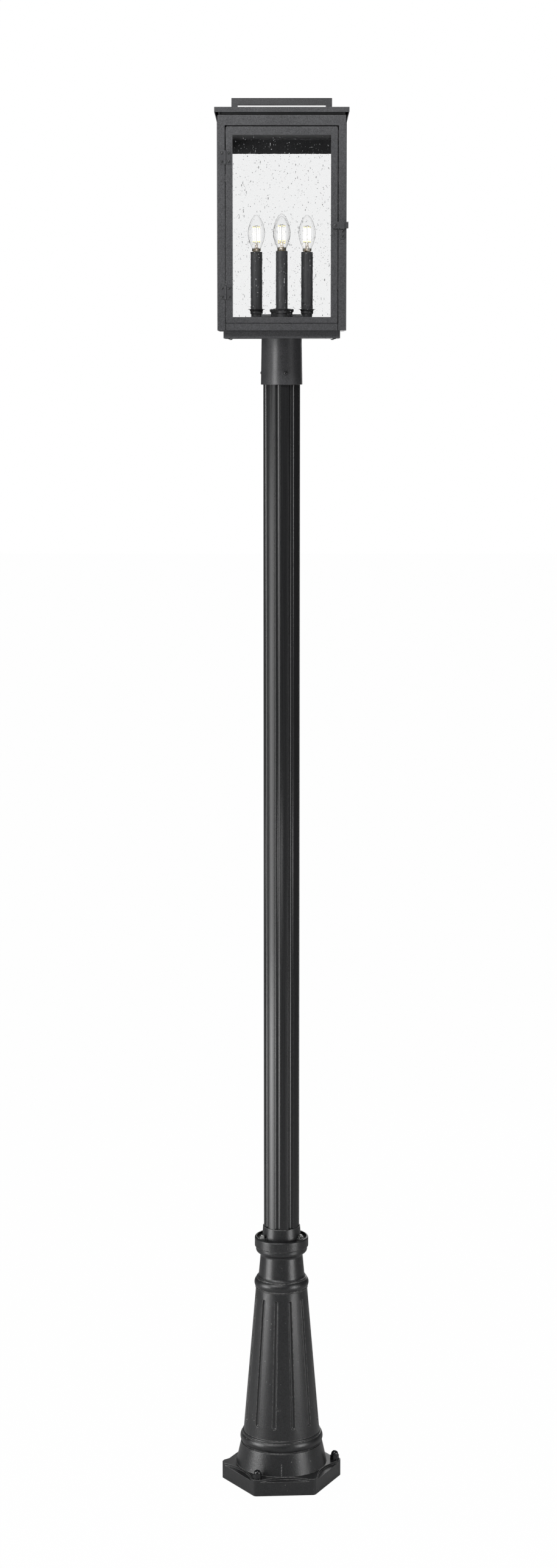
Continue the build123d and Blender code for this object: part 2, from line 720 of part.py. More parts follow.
def drilled(part, places):
    """The part with a small screw's hole from its front at each place."""
    hole = Rot(90, 0, 0) * Cylinder(SMALL_SCREW_R + THREAD_GAP, 2 * SMALL_SCREW_L)
    for x, z in places:
        part -= Pos(x, FRONT, z) * hole
    return part


def side_strip(end_a, end_b, z0, z1, thick0, thick1):
    """Strips for the left, right and rear sides, between two distances out from the axis."""
    left = block((-thick1, -thick0), (end_a, end_b), (z0, z1))
    right = block((thick0, thick1), (end_a, end_b), (z0, z1))
    rear = block((end_a, end_b), (thick0, thick1), (z0, z1))
    return {"left": left, "right": right, "rear": rear}


def top_frame():
    """The flat-bar ring that joins the posts' heads and carries the fascia and the roof.

    Its front bar stays above the door, and is thinner behind the shadow gap under the roof.
    """
    z0, z1 = CEILING_Z, CAP_TOP_Z - SHEET
    inner = FRAME_IN - TOP_FRAME_T
    ring = block((-FRAME_IN, FRAME_IN), (-FRAME_IN, FRAME_IN), (z0, z1))
    ring -= block((-inner, inner), (-inner, inner), (z0 - OVERCUT, z1 + OVERCUT))
    front = (-FRAME_IN - OVERCUT, -inner)
    ring -= block((-POST_EDGE, POST_EDGE), front, (z0 - OVERCUT, FASCIA_Z))
    groove = (-FRAME_IN - OVERCUT, -FRAME_IN + REVEAL_DEPTH)
    return ring - block((-inner, inner), groove, (CAP_Z - REVEAL_H, z1 + OVERCUT))


def ceiling_plate():
    """The ceiling: a plate with its front edge turned up behind the door's head."""
    half = FRAME_IN - TOP_FRAME_T
    front = DOOR_BACK + SHEET
    plate = block((-half, half), (front, half), (CEILING_Z, CEILING_Z + SHEET))
    return plate + block((-half, half), (front, front + SHEET), (CEILING_Z, FASCIA_Z + SHEET))


def front_fascia():
    plate = block((-FASCIA_HALF, FASCIA_HALF), (FRONT, -FRAME_IN), (FASCIA_Z, FASCIA_Z + FASCIA_H))
    front = plate.faces().sort_by(Axis.Y)[0]
    return chamfer(front.edges(), 0.4)


def flare_shell(inset):
    """A square funnel from the eaves up to the roof cap's edge."""
    foot = BODY_HALF - inset
    top = CAP_HALF - FLARE_TOP_INSET - inset
    foot_face = Pos(0, 0, EAVES_Z) * Rectangle(2 * foot, 2 * foot)
    top_face = Pos(0, 0, CAP_Z) * Rectangle(2 * top, 2 * top)
    return loft([foot_face, top_face])


def roof_flares():
    """The sheet that flares out under the roof cap on the left, right and rear."""
    shell = flare_shell(0) - flare_shell(FLARE_SHEET)
    reach = CAP_HALF + OVERCUT
    return shell - block((-reach, reach), (-reach, -FRAME_IN), (EAVES_Z - OVERCUT, CAP_Z + OVERCUT))


def roof_cap():
    """The flat roof: a plate with a turned-down rim."""
    cap = block((-CAP_HALF, CAP_HALF), (-CAP_HALF, CAP_HALF), (CAP_Z, CAP_TOP_Z))
    cap = fillet(cap.edges().filter_by(Axis.Z), 1.0)
    cap = chamfer(cap.faces().sort_by(Axis.Z)[-1].edges(), 0.5)
    inner = CAP_HALF - SHEET
    return cap - block((-inner, inner), (-inner, inner), (CAP_Z - OVERCUT, CAP_TOP_Z - SHEET))


def roof_handle():
    """The square-bar handle that stands on the roof, with mitred corners."""
    deep = HANDLE_BAR / 2
    z1 = CAP_TOP_Z + HANDLE_H
    handle = block((-HANDLE_HALF, HANDLE_HALF), (-deep, deep), (CAP_TOP_Z, z1))
    inner = HANDLE_HALF - HANDLE_BAR
    through = (-deep - OVERCUT, deep + OVERCUT)
    handle -= block((-inner, inner), through, (CAP_TOP_Z - OVERCUT, z1 - HANDLE_GRIP_H))
    return chamfer(handle.edges().filter_by(Axis.Y).group_by(Axis.Z)[-1], 0.6)


def glazing_clips():
    """Short angles in the corners that hold the fixed panes against their frames."""
    clips = []
    for side in (-1, 1):
        for end, wall in ((-1, FRAME_IN), (1, PANE_IN)):
            for z in (FLOOR_Z + CLIP_INSET, CEILING_Z - CLIP_INSET):
                x0, y0 = side * PANE_IN, end * wall
                heights = (z - CLIP_H / 2, z + CLIP_H / 2)
                leg_a = block((x0, x0 - side * CLIP_T), (y0, y0 - end * CLIP_LEG), heights)
                leg_b = block((x0, x0 - side * CLIP_LEG), (y0, y0 - end * CLIP_T), heights)
                clips.append(leg_a + leg_b)
    return Part() + clips


def hinge_screw_zs():
    """The heights of the screws in both hinges' leaves."""
    return [z + s * HINGE_SCREW_PITCH / 2 for z in HINGE_ZS for s in (-1, 1)]


def keeper_screw_zs():
    top = LATCH_Z - LATCH_BAR_H / 2 - LATCH_REST_GAP - KEEPER_SCREW_DROP
    return [top - KEEPER_SCREW_PITCH, top]


def door_frame():
    """The door's frame, with a rebate behind for its pane and round outer corners."""
    frame = block((-DOOR_HALF, DOOR_HALF), (FRONT, DOOR_BACK), (DOOR_Z, DOOR_TOP_Z))
    frame = fillet(frame.edges().filter_by(Axis.Y), DOOR_CORNER_ROUND)
    frame = fillet(frame.faces().sort_by(Axis.Y)[0].edges(), 0.6)
    light = ((-LIGHT_HALF, LIGHT_HALF), (FRONT - OVERCUT, DOOR_BACK + OVERCUT), (LIGHT_Z, LIGHT_TOP_Z))
    frame -= block(*light)
    half = LIGHT_HALF + REBATE_W
    heights = (LIGHT_Z - REBATE_W, LIGHT_TOP_Z + REBATE_W)
    frame -= block((-half, half), (REBATE_FRONT, DOOR_BACK + OVERCUT), heights)
    frame = drilled(frame, [(HINGE_X + HINGE_SCREW_REACH, z) for z in hinge_screw_zs()])
    hole = Rot(90, 0, 0) * Cylinder(LATCH_SCREW_R + THREAD_GAP, 2 * LATCH_SCREW_L)
    return frame - Pos(LATCH_X, FRONT, LATCH_Z) * hole


def door_glass():
    half = LIGHT_HALF + GLASS_BITE
    heights = (LIGHT_Z - GLASS_BITE, LIGHT_TOP_Z + GLASS_BITE)
    return block((-half, half), (REBATE_FRONT, REBATE_FRONT + GLASS_T), heights)


def door_glass_beads():
    """Four strips that close the rebate behind the door's pane."""
    half = LIGHT_HALF + REBATE_W
    z0, z1 = LIGHT_Z - REBATE_W, LIGHT_TOP_Z + REBATE_W
    deep = (REBATE_FRONT + GLASS_T, DOOR_BACK)
    beads = []
    for side in (-1, 1):
        beads.append(block((side * half, side * (half - BEAD_W)), deep, (z0, z1)))
    inner = half - BEAD_W
    beads.append(block((-inner, inner), deep, (z0, z0 + BEAD_W)))
    beads.append(block((-inner, inner), deep, (z1 - BEAD_W, z1)))
    return Part() + beads


def knuckle_spans(middle):
    """The heights of a leaf's knuckles, about the hinge's middle: the middle third or the outer two."""
    third = HINGE_H / 6
    gap = KNUCKLE_END_GAP / 2
    if middle:
        return [(-third + gap, third - gap)]
    return [(-3 * third, -third - gap), (third + gap, 3 * third)]


def hinge_leaf(side, middle, z):
    """One leaf of a butt hinge, flat on the front, with its knuckles round the pin."""
    y0, y1 = FRONT - LEAF_T, FRONT
    root = HINGE_X + side * (HINGE_PIN_R + PIN_GAP + 0.15)
    edge = HINGE_X + side * LEAF_W
    leaf = block((root, edge), (y0, y1), (z - HINGE_H / 2, z + HINGE_H / 2))
    outer = leaf.edges().filter_by(Axis.Y).group_by(Axis.X)[0 if side < 0 else -1]
    leaf = fillet(outer, 0.8)
    for low, high in knuckle_spans(not middle):
        swept = KNUCKLE_R + MOVING_GAP
        gap = KNUCKLE_END_GAP
        leaf -= rod(swept, z + low - gap, z + high + gap, (HINGE_X, HINGE_Y))
    for low, high in knuckle_spans(middle):
        leaf += rod(KNUCKLE_R, z + low, z + high, (HINGE_X, HINGE_Y))
    leaf -= rod(HINGE_PIN_R + PIN_GAP, z - HINGE_H, z + HINGE_H, (HINGE_X, HINGE_Y))
    places = [(HINGE_X + side * HINGE_SCREW_REACH, z + s * HINGE_SCREW_PITCH / 2) for s in (-1, 1)]
    return drilled(leaf, places)


def hinge_pins():
    pins = []
    for z in HINGE_ZS:
        half = HINGE_H / 2
        pin = rod(HINGE_PIN_R, z - half, z + half, (HINGE_X, HINGE_Y))
        for end in (-half - HINGE_PIN_HEAD_H, half):
            pin += rod(KNUCKLE_R * 0.9, z + end, z + end + HINGE_PIN_HEAD_H, (HINGE_X, HINGE_Y))
        pins.append(pin)
    return Part() + pins


def small_screws(places, seat_y):
    screw = pan_screw(SMALL_SCREW_HEAD_R, SMALL_SCREW_HEAD_H, SMALL_SCREW_R, SMALL_SCREW_L)
    return Part() + [Pos(x, seat_y, z) * screw for x, z in places]


def latch_bar():
    """The pivoting bar, with a round-cornered thumb tab bent forward at its free end."""
    low, high = LATCH_Z - LATCH_BAR_H / 2, LATCH_Z + LATCH_BAR_H / 2
    tip = LATCH_X + LATCH_REACH
    front = LATCH_BAR_Y - LATCH_BAR_T
    bar = block((LATCH_X - LATCH_BACK, tip), (front, LATCH_BAR_Y), (low, high))
    tab = block((tip - LATCH_TAB_T, tip), (LATCH_BAR_Y - LATCH_TAB_L, LATCH_BAR_Y), (low, high))
    tab = fillet(tab.edges().filter_by(Axis.X).group_by(Axis.Y)[0], 2.0)
    bar += tab
    hole = Rot(90, 0, 0) * Cylinder(LATCH_SCREW_R + PIN_GAP, 4 * LATCH_BAR_T)
    return bar - Pos(LATCH_X, LATCH_BAR_Y, LATCH_Z) * hole


def latch_pivot_screw():
    seat = LATCH_BAR_Y - LATCH_BAR_T - PIN_GAP
    screw = pan_screw(LATCH_SCREW_HEAD_R, LATCH_SCREW_HEAD_H, LATCH_SCREW_R, FRONT - seat + LATCH_SCREW_L)
    return Pos(LATCH_X, seat, LATCH_Z) * screw


def latch_keeper():
    """The J-shaped keeper on the right front post: a plate, a ledge under the bar and a lip before it."""
    half = KEEPER_W / 2
    width = (KEEPER_X - half, KEEPER_X + half)
    rest = LATCH_Z - LATCH_BAR_H / 2 - LATCH_REST_GAP
    lip = LATCH_BAR_Y - LATCH_BAR_T - LATCH_SLIDE_GAP
    plate = block(width, (FRONT - KEEPER_T, FRONT), (rest - KEEPER_PLATE_H, rest))
    plate = fillet(plate.edges().filter_by(Axis.Y).group_by(Axis.Z)[0], 1.5)
    hook = block(width, (lip - KEEPER_T, FRONT), (rest - KEEPER_T, rest))
    hook += block(width, (lip - KEEPER_T, lip), (rest - KEEPER_T, rest + LATCH_BAR_H))
    foot = hook.edges().filter_by(Axis.X).sort_by_distance((KEEPER_X, lip - KEEPER_T, rest - KEEPER_T))[0]
    hook = fillet(foot, KEEPER_T * 0.8)
    return drilled(plate + hook, [(KEEPER_X, z) for z in keeper_screw_zs()])


def candle_angles():
    return [360 / CANDLE_COUNT * k for k in range(CANDLE_COUNT)]


def candle_places():
    return [polar(CANDLE_CIRCLE_R, a) for a in candle_angles()]


def at_candles(part):
    """Copies of a part on the axis, one at each candle."""
    return Part() + [Pos(x, y) * part for x, y in candle_places()]


def candle_hub():
    """The spun can in the middle, with a rolled lip and a hole for each arm."""
    z0, z1 = FLOOR_Z, CLUSTER_TOP_Z
    top = z1 - HUB_TOP_DROP
    lip_z = z1 - HUB_LIP_H
    mid = (lip_z + z1) / 2
    hub = turned(
        (HUB_R - HUB_WALL, z0),
        (HUB_R, z0),
        (HUB_R, lip_z - 1.5),
        (HUB_LIP_R - 0.8, lip_z),
        ((HUB_LIP_R, mid), (HUB_LIP_R - 0.8, z1)),
        (HUB_R - 3, z1),
        (HUB_R - 4, top),
        (0, top),
        (0, top - HUB_WALL),
        (HUB_R - HUB_WALL, top - HUB_WALL),
    )
    hub -= rod(NIPPLE_R + THREAD_GAP, z0, z1 + OVERCUT)
    bore = Pos(0, 0, FLOOR_Z + ARM_RISE) * Rot(90, 0, 0) * rod(ARM_BORE_R, 0, HUB_R + OVERCUT)
    for angle in candle_angles():
        hub -= Rot(0, 0, angle) * bore
    return hub


def hub_nipple():
    z0 = FLOOR_Z - SHEET - HUB_NUT_H - NIPPLE_SHOW
    z1 = CLUSTER_TOP_Z - HUB_TOP_DROP + HUB_NUT_H + NIPPLE_SHOW
    return rod(NIPPLE_R, z0, z1) - rod(NIPPLE_BORE_R, z0 - OVERCUT, z1 + OVERCUT)


def hub_nuts():
    nuts = []
    for z in (FLOOR_Z - SHEET - HUB_NUT_H, CLUSTER_TOP_Z - HUB_TOP_DROP):
        bore = rod(NIPPLE_R + THREAD_GAP, z - OVERCUT, z + HUB_NUT_H + OVERCUT)
        nuts.append(hexagon(HUB_NUT_AF, z, z + HUB_NUT_H) - bore)
    return Part() + nuts


def candle_arms():
    """Round tubes from the hub to the candle stems, with saddle ends."""
    z = FLOOR_Z + ARM_RISE
    arm = rod(ARM_R, HUB_R - 3, CANDLE_CIRCLE_R) - rod(ARM_BORE_R, 0, CANDLE_CIRCLE_R + OVERCUT)
    arm = Pos(0, 0, z) * Rot(90, 0, 0) * arm
    arm -= rod(HUB_R, FLOOR_Z, CLUSTER_TOP_Z)
    arm -= rod(STEM_R, FLOOR_Z, CLUSTER_TOP_Z, (0, -CANDLE_CIRCLE_R))
    return Part() + [Rot(0, 0, a) * arm for a in candle_angles()]


def candle_cups():
    """The arm ends: a round stem, a banded cup and a thin drip dish, bored for the lamp holder."""
    z1 = CLUSTER_TOP_Z
    dish_z = z1 - DISH_H
    band_top = dish_z - 1.2
    band_z = band_top - CUP_BAND_H
    seat_r = SLEEVE_R + 0.1
    cup = turned(
        (0, band_z - STEM_H),
        (STEM_R - 2, band_z - STEM_H),
        ((STEM_R - 0.6, band_z - STEM_H + 0.6), (STEM_R, band_z - STEM_H + 2)),
        (STEM_R, band_z),
        ((CUP_BAND_R - 0.4, band_z + 0.5), (CUP_BAND_R, band_z + 1.8)),
        (CUP_BAND_R, band_top),
        (CUP_BAND_R + 0.4, dish_z),
        ((CUP_BAND_R + 1.6, dish_z + DISH_H * 0.55), (DISH_R, z1 - 0.8)),
        (DISH_R, z1),
        (DISH_R - 1.2, z1),
        (seat_r, z1 - 1.2),
        (seat_r, SLEEVE_Z),
        (0, SLEEVE_Z),
    )
    cup -= rod(SOCKET_STEM_R + THREAD_GAP, SLEEVE_Z - SOCKET_STEM_SEAT, SLEEVE_Z + OVERCUT)
    bore = Pos(0, 0, FLOOR_Z + ARM_RISE) * Rot(-90, 0, 0) * rod(ARM_BORE_R, -ARM_BORE_R, STEM_R + OVERCUT)
    bore += rod(ARM_BORE_R - 0.4, FLOOR_Z + ARM_RISE, SLEEVE_Z + OVERCUT)
    cup -= bore
    places = zip(candle_places(), candle_angles())
    return Part() + [Pos(x, y) * Rot(0, 0, a) * cup for (x, y), a in places]


def candle_sleeve(place):
    sleeve = rod(SLEEVE_R, SLEEVE_Z, SLEEVE_TOP_Z)
    sleeve -= rod(SLEEVE_R - SLEEVE_WALL, SLEEVE_Z - OVERCUT, SLEEVE_TOP_Z + OVERCUT)
    sleeve = chamfer(sleeve.edges().group_by(Axis.Z)[-1].sort_by(SortBy.RADIUS)[-1], 0.4)
    return Pos(*place) * sleeve


def lamp_sockets():
    """The lamp holders, on hollow stems inside the candle sleeves."""
    top = SLEEVE_TOP_Z - SOCKET_TOP_DROP
    body_z = top - SOCKET_BODY_H
    holder = turned(
        (ARM_BORE_R, SLEEVE_Z - SOCKET_STEM_SEAT),
        (SOCKET_STEM_R, SLEEVE_Z - SOCKET_STEM_SEAT),
        (SOCKET_STEM_R, body_z),
        (SOCKET_BODY_R - SOCKET_BODY_EASE, body_z),
        (SOCKET_BODY_R, body_z + SOCKET_BODY_EASE),
        (SOCKET_BODY_R, top),
        (SOCKET_BORE_R, top),
        (SOCKET_BORE_R, top - SOCKET_BORE_H),
        (ARM_BORE_R, top - SOCKET_BORE_H),
    )
    return at_candles(holder)


def bulb_caps():
    """The screw shells, each with a collar that the glass is set in."""
    z1 = BULB_Z
    collar_z = z1 - BULB_COLLAR_H
    cap = turned(
        (0, collar_z - BULB_SHELL_H),
        (BULB_SHELL_R * 0.5, collar_z - BULB_SHELL_H),
        (BULB_SHELL_R, collar_z - BULB_SHELL_H + 2),
        (BULB_SHELL_R, collar_z),
        (BULB_COLLAR_R - 0.8, collar_z + 2.5),
        (BULB_COLLAR_R, collar_z + 3.5),
        (BULB_COLLAR_R, z1),
        (0, z1),
    )
    return at_candles(cap)


def bulb_shape(inset):
    """A candle bulb's outline, drawn in by a wall: a neck, a belly at its lower third and a long tip."""
    neck = (BULB_COLLAR_R - 0.3 - inset, BULB_Z)
    belly = (BULB_R - inset, BULB_Z + BULB_H * 0.40)
    shoulder = (BULB_R * 0.62 - inset, BULB_Z + BULB_H * 0.80)
    tip = (0.01, BULB_Z + BULB_H - inset)
    curve = Spline(
        *[(r, 0, z) for r, z in (neck, belly, shoulder, tip)],
        tangents=[(0.45, 0, 1), (-1, 0, 0.12)],
    )
    edges = [
        curve,
        Line(curve @ 1, (0, 0, tip[1])),
        Line((0, 0, tip[1]), (0, 0, BULB_Z)),
        Line((0, 0, BULB_Z), curve @ 0),
    ]
    return revolve(make_face(Curve() + edges), Axis.Z)


def bulb_glass():
    return at_candles(bulb_shape(0) - bulb_shape(BULB_WALL))


def bulb_filaments():
    """In each bulb, a glass stem and mast with four upright filaments held by wires."""
    z0 = BULB_Z + FILAMENT_RISE
    z1 = z0 + FILAMENT_L
    inside = turned(
        (0, BULB_Z),
        (BULB_STEM_R, BULB_Z),
        ((BULB_STEM_R * 0.55, BULB_Z + 3), (BULB_STEM_R * 0.5, BULB_Z + 7)),
        (BULB_MAST_R, z0 - BULB_MAST_OVER),
        (BULB_MAST_R * 0.6, z1 + BULB_MAST_OVER),
        (0, z1 + BULB_MAST_OVER),
    )
    reach = FILAMENT_CIRCLE_R
    for k in range(FILAMENT_COUNT):
        strand = rod(FILAMENT_R, z0, z1, (0, -reach))
        for z in (z0, z1):
            wire = Pos(0, 0, z) * Rot(90, 0, 0) * rod(FILAMENT_WIRE_R, 0, reach)
            strand += wire
        inside += Rot(0, 0, 22 + 360 / FILAMENT_COUNT * k) * strand
    return at_candles(inside)


def make_parts():
    """Every sub-part by its name."""
    parts = {
        "base_casting": base_casting(),
        "anchor_washers": anchor_washers(),
        "anchor_cap_nuts": anchor_cap_nuts(),
        "collar_cup": collar_cup(),
        "post_socket": post_socket(),
        "flange_studs": flange_studs(),
        "fluted_post": fluted_post(),
        "fitter_sleeve": fitter_sleeve(),
        "fitter_set_screws": fitter_set_screws(),
        "bottom_tray": bottom_tray(),
        "tray_screws": tray_screws(),
        "floor_pan": floor_pan(),
        "top_frame": top_frame(),
        "ceiling_plate": ceiling_plate(),
        "front_fascia": front_fascia(),
        "roof_flares": roof_flares(),
        "roof_cap": roof_cap(),
        "roof_handle": roof_handle(),
        "glazing_clips": glazing_clips(),
        "door_frame": door_frame(),
        "door_glass": door_glass(),
        "door_glass_beads": door_glass_beads(),
        "hinge_pins": hinge_pins(),
        "latch_bar": latch_bar(),
        "latch_pivot_screw": latch_pivot_screw(),
        "latch_keeper": latch_keeper(),
        "candle_hub": candle_hub(),
        "hub_nipple": hub_nipple(),
        "hub_nuts": hub_nuts(),
        "candle_arms": candle_arms(),
        "candle_cups": candle_cups(),
        "lamp_sockets": lamp_sockets(),
        "bulb_caps": bulb_caps(),
        "bulb_glass": bulb_glass(),
        "bulb_filaments": bulb_filaments(),
    }
    for side, sign in SIDES.items():
        parts[f"front_{side}_post"] = corner_post(sign, -1)
        parts[f"rear_{side}_post"] = corner_post(sign, 1)
    lower = (-POST_EDGE, POST_EDGE, FLOOR_Z, FLOOR_Z + LOWER_RAIL_H, FRAME_IN, BODY_HALF)
    upper = (-POST_EDGE, POST_EDGE, OPENING_TOP_Z, EAVES_Z, FRAME_IN, BODY_HALF)
    pane_half = FRAME_IN - PANE_EDGE_GAP
    pane = (-pane_half, pane_half, FLOOR_Z, CEILING_Z - PANE_TOP_GAP, PANE_IN, FRAME_IN)
    for name, sizes in {"lower_rail": lower, "upper_rail": upper, "glass": pane}.items():
        for side, strip in side_strip(*sizes).items():
            parts[f"{side}_{name}"] = strip
    for name, z in zip(("lower", "upper"), HINGE_ZS):
        parts[f"{name}_hinge_post_leaf"] = hinge_leaf(-1, False, z)
        parts[f"{name}_hinge_door_leaf"] = hinge_leaf(1, True, z)
    zs = hinge_screw_zs()
    leaf_face = FRONT - LEAF_T
    parts["hinge_post_screws"] = small_screws([(HINGE_X - HINGE_SCREW_REACH, z) for z in zs], leaf_face)
    parts["hinge_door_screws"] = small_screws([(HINGE_X + HINGE_SCREW_REACH, z) for z in zs], leaf_face)
    parts["keeper_screws"] = small_screws([(KEEPER_X, z) for z in keeper_screw_zs()], FRONT - KEEPER_T)
    for name, place in zip(("front", "right", "rear", "left"), candle_places()):
        parts[f"{name}_candle_sleeve"] = candle_sleeve(place)
    return parts


os.makedirs("parts", exist_ok=True)
for part_name, solid in make_parts().items():
    lift(solid, part_name)
print("door hinge axis", round(HINGE_X, 3), round(HINGE_Y, 3))
print("latch pivot", round(LATCH_X, 3), round(LATCH_Z, 3))
print("heights: pad", PAD_Z, "post", POST_FOOT_Z, POST_TOP_Z, "tray", TRAY_Z, "floor", FLOOR_Z)
print("heights: ceiling", CEILING_Z, "cap top", CAP_TOP_Z, "bulb tip", BULB_Z + BULB_H)
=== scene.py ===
import json
import math

import bpy
import numpy as np
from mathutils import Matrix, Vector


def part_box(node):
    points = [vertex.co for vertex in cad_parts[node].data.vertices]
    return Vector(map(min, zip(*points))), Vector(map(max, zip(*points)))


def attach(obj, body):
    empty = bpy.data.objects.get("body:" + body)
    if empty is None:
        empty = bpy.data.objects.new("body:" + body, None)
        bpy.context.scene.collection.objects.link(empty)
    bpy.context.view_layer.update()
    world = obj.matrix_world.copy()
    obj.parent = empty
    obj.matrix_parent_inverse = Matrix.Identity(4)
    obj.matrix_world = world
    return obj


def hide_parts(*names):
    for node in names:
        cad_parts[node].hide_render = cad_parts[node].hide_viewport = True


# The looks of the four-light post light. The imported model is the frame, in metres.
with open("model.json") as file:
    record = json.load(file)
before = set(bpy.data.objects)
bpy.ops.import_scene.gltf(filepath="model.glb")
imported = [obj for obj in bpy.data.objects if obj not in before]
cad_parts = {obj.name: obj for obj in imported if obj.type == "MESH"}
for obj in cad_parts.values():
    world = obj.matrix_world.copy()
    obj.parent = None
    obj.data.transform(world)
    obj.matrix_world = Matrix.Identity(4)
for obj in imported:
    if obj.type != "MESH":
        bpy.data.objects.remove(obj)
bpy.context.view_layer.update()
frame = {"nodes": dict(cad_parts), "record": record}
NODES = frame["nodes"]
LANTERN_AND_POST = "lantern_and_post"
DOOR = "door"
TURN = 2 * math.pi

# Colours of the coats and bare metals, linear
CHARCOAL_COAT = (0.053, 0.0535, 0.0565)
# The lantern's charcoal darkened, as painted shade for the pieces inside the roof
SHADED_INSIDE_CHARCOAL = (0.034, 0.0345, 0.0365)
HARDWARE_CHARCOAL = (0.052, 0.0525, 0.0555)
BLACK_CANDLE_COAT = (0.030, 0.0305, 0.032)
BLACK_SCREW_COAT = (0.028, 0.0285, 0.030)
BLACK_POST_COAT = (0.014, 0.0143, 0.015)
BLACK_CAST_COAT = (0.015, 0.0153, 0.016)
GLOSS_BLACK = (0.010, 0.0102, 0.011)
# Pale bare metal of chips, also a painted highlight along the casting's edges
PALE_CHIP_AND_EDGE_HIGHLIGHT = (0.42, 0.42, 0.41)
SEAM_GREY = (0.16, 0.16, 0.16)
STUD_STEEL = (0.46, 0.46, 0.45)
NICKEL = (0.72, 0.69, 0.63)
BRASS_TINT = (0.52, 0.43, 0.32)
HOLDER_WHITE = (0.72, 0.70, 0.64)

# Colours of the glass and of what is inside a bulb, linear
PANE_TINT = (0.985, 0.987, 0.988)
# The bubbles' grey is a painted glint and their dimmed see-through a painted shade, in place of light
# the bubbles bend
BUBBLE_GLINT_GREY = (0.36, 0.365, 0.37)
BUBBLE_SEE_THROUGH_SHADE = (0.5, 0.5, 0.5)
BULB_FACE = (0.988, 0.988, 0.988)
# Painted shade for the bulbs' glass where it is seen edge on
BULB_EDGE_SHADE = (0.20, 0.20, 0.21)
BULB_GLOSS = (0.9, 0.9, 0.9)
LIT_STRIP = (1.0, 0.95, 0.82)
PHOSPHOR_YELLOW = (1.0, 0.76, 0.20)
SUPPORT_WIRE = (0.20, 0.18, 0.17)
STEM_BROWN = (0.42, 0.33, 0.26)
STEM_PALE = (0.86, 0.82, 0.76)

# Tones of a mottled coat, as shares of its colour, and the usual spread of a cloud
DARKEST_TONE = 0.4
PALEST_TONE = 1.6
CLOUD_LOW = 0.3
CLOUD_HIGH = 0.7

# Depths of the textures, and radii that the edges are eased to
SPRAY_GRAIN_DEPTH = 0.00045
CAST_GRAIN_DEPTH = 0.00030
SAND_DEPTH = 0.00018
POST_GRAIN_DEPTH = 0.00008
DIE_LINE_DEPTH = 0.00008
SCREW_GRAIN_DEPTH = 0.00005
TURNED_RING_DEPTH = 0.0005
HOLDER_GRAIN_DEPTH = 0.0001
STEM_MOTTLE_DEPTH = 0.0003
PANE_SAG = 0.000024
PANE_RIPPLE = 0.000012
SHEET_EDGE_R = 0.0007
CASTING_EDGE_R = 0.0016
SMALL_EDGE_R = 0.0005

# The mould's seam on the front of the skirt's foot
SEAM_SIDE = 0.0
SEAM_HALF_W = 0.0011
SEAM_MIDDLE_Z = 0.050
SEAM_HALF_L = 0.013
SEAM_STEP = 0.0004

# Bubbles in the panes
BUBBLES_IN_A_PANE = 700
BUBBLE_R = 0.00047
BUBBLE_R_SPREAD = 0.00046
BUBBLE_LONGEST = 6.0
BUBBLE_LEAN = 0.07
BUBBLE_AROUND = 8
BUBBLE_ROWS = 3
PANE_DEPTH_SHARE = 0.75
PANE_MARGIN = 0.004
FIRST_BUBBLE_SEED = 40

# Candle bulbs
BULB_BELLY_R = 0.0175
BULB_NECK_R = 0.0086
BULB_BELLY_AT = 0.46
BULB_ROWS = 44
BULB_AROUND = 56

# Filaments in a bulb
STRIP_TURN = 22.0
STRIP_CIRCLE_R = 0.0069
STRIP_R = 0.00095
STRIP_FOOT_RISE = 0.0125
STRIP_TOP_RISE = 0.0440
STRIP_END = 0.0026
ROD_AROUND = 10
WIRE_R = 0.00032
OFF_EVERY_WIRE = (0.3, 0.2, 0.93)
MAST_R = 0.0005
MAST_FOOT = 0.0108
DRIFT_AT_TOP = 0.0026
DRIFT_AT_FOOT = -0.0036

# The studio
FILL_LEVEL = 0.14
MIRROR_LEVEL = 0.045
FLOOR_REACH = 30.0
FLOOR_WHITE_SHARE = 0.99
FLOOR_GREY = (0.50, 0.50, 0.50)

# The studio's lamps: name, place, target, width and height, and watts
LAMPS = (
    ("left_front_softbox", (-1.85, -2.36, 2.5), (0, 0, 2.5), (0.8, 1.5), 38.0),
    ("left_side_softbox", (-2.78, -1.12, 1.05), (0, 0, 1.05), (1.5, 2.1), 40.0),
    ("right_side_softbox", (2.38, -1.66, 1.05), (0, 0, 1.05), (0.9, 2.1), 25.0),
    ("left_low_softbox", (-1.39, -0.56, 0.4), (0, 0, 0.3), (0.7, 0.75), 8.5),
    ("right_low_softbox", (1.23, -0.86, 0.4), (0, 0, 0.3), (0.6, 0.75), 5.6),
    ("top_front_lamp", (-0.2, -1.5, 3.9), (0, -0.1, 2.75), (0.9, 0.45), 31.0),
    ("base_top_lamp", (-0.25, -1.0, 1.2), (0, 0, 0.1), (0.7, 0.3), 2.8),
    ("back_softbox", (0.8, 3.2, 1.7), (0, 0, 1.7), (1.6, 2.8), 26.0),
)

# The camera, fitted to the photograph
CAMERA_PLACE = (-0.0066, -6.0, 2.42)
CAMERA_PITCH = 8.43
FILM_HEIGHT = 36.0
LENS = 65.96


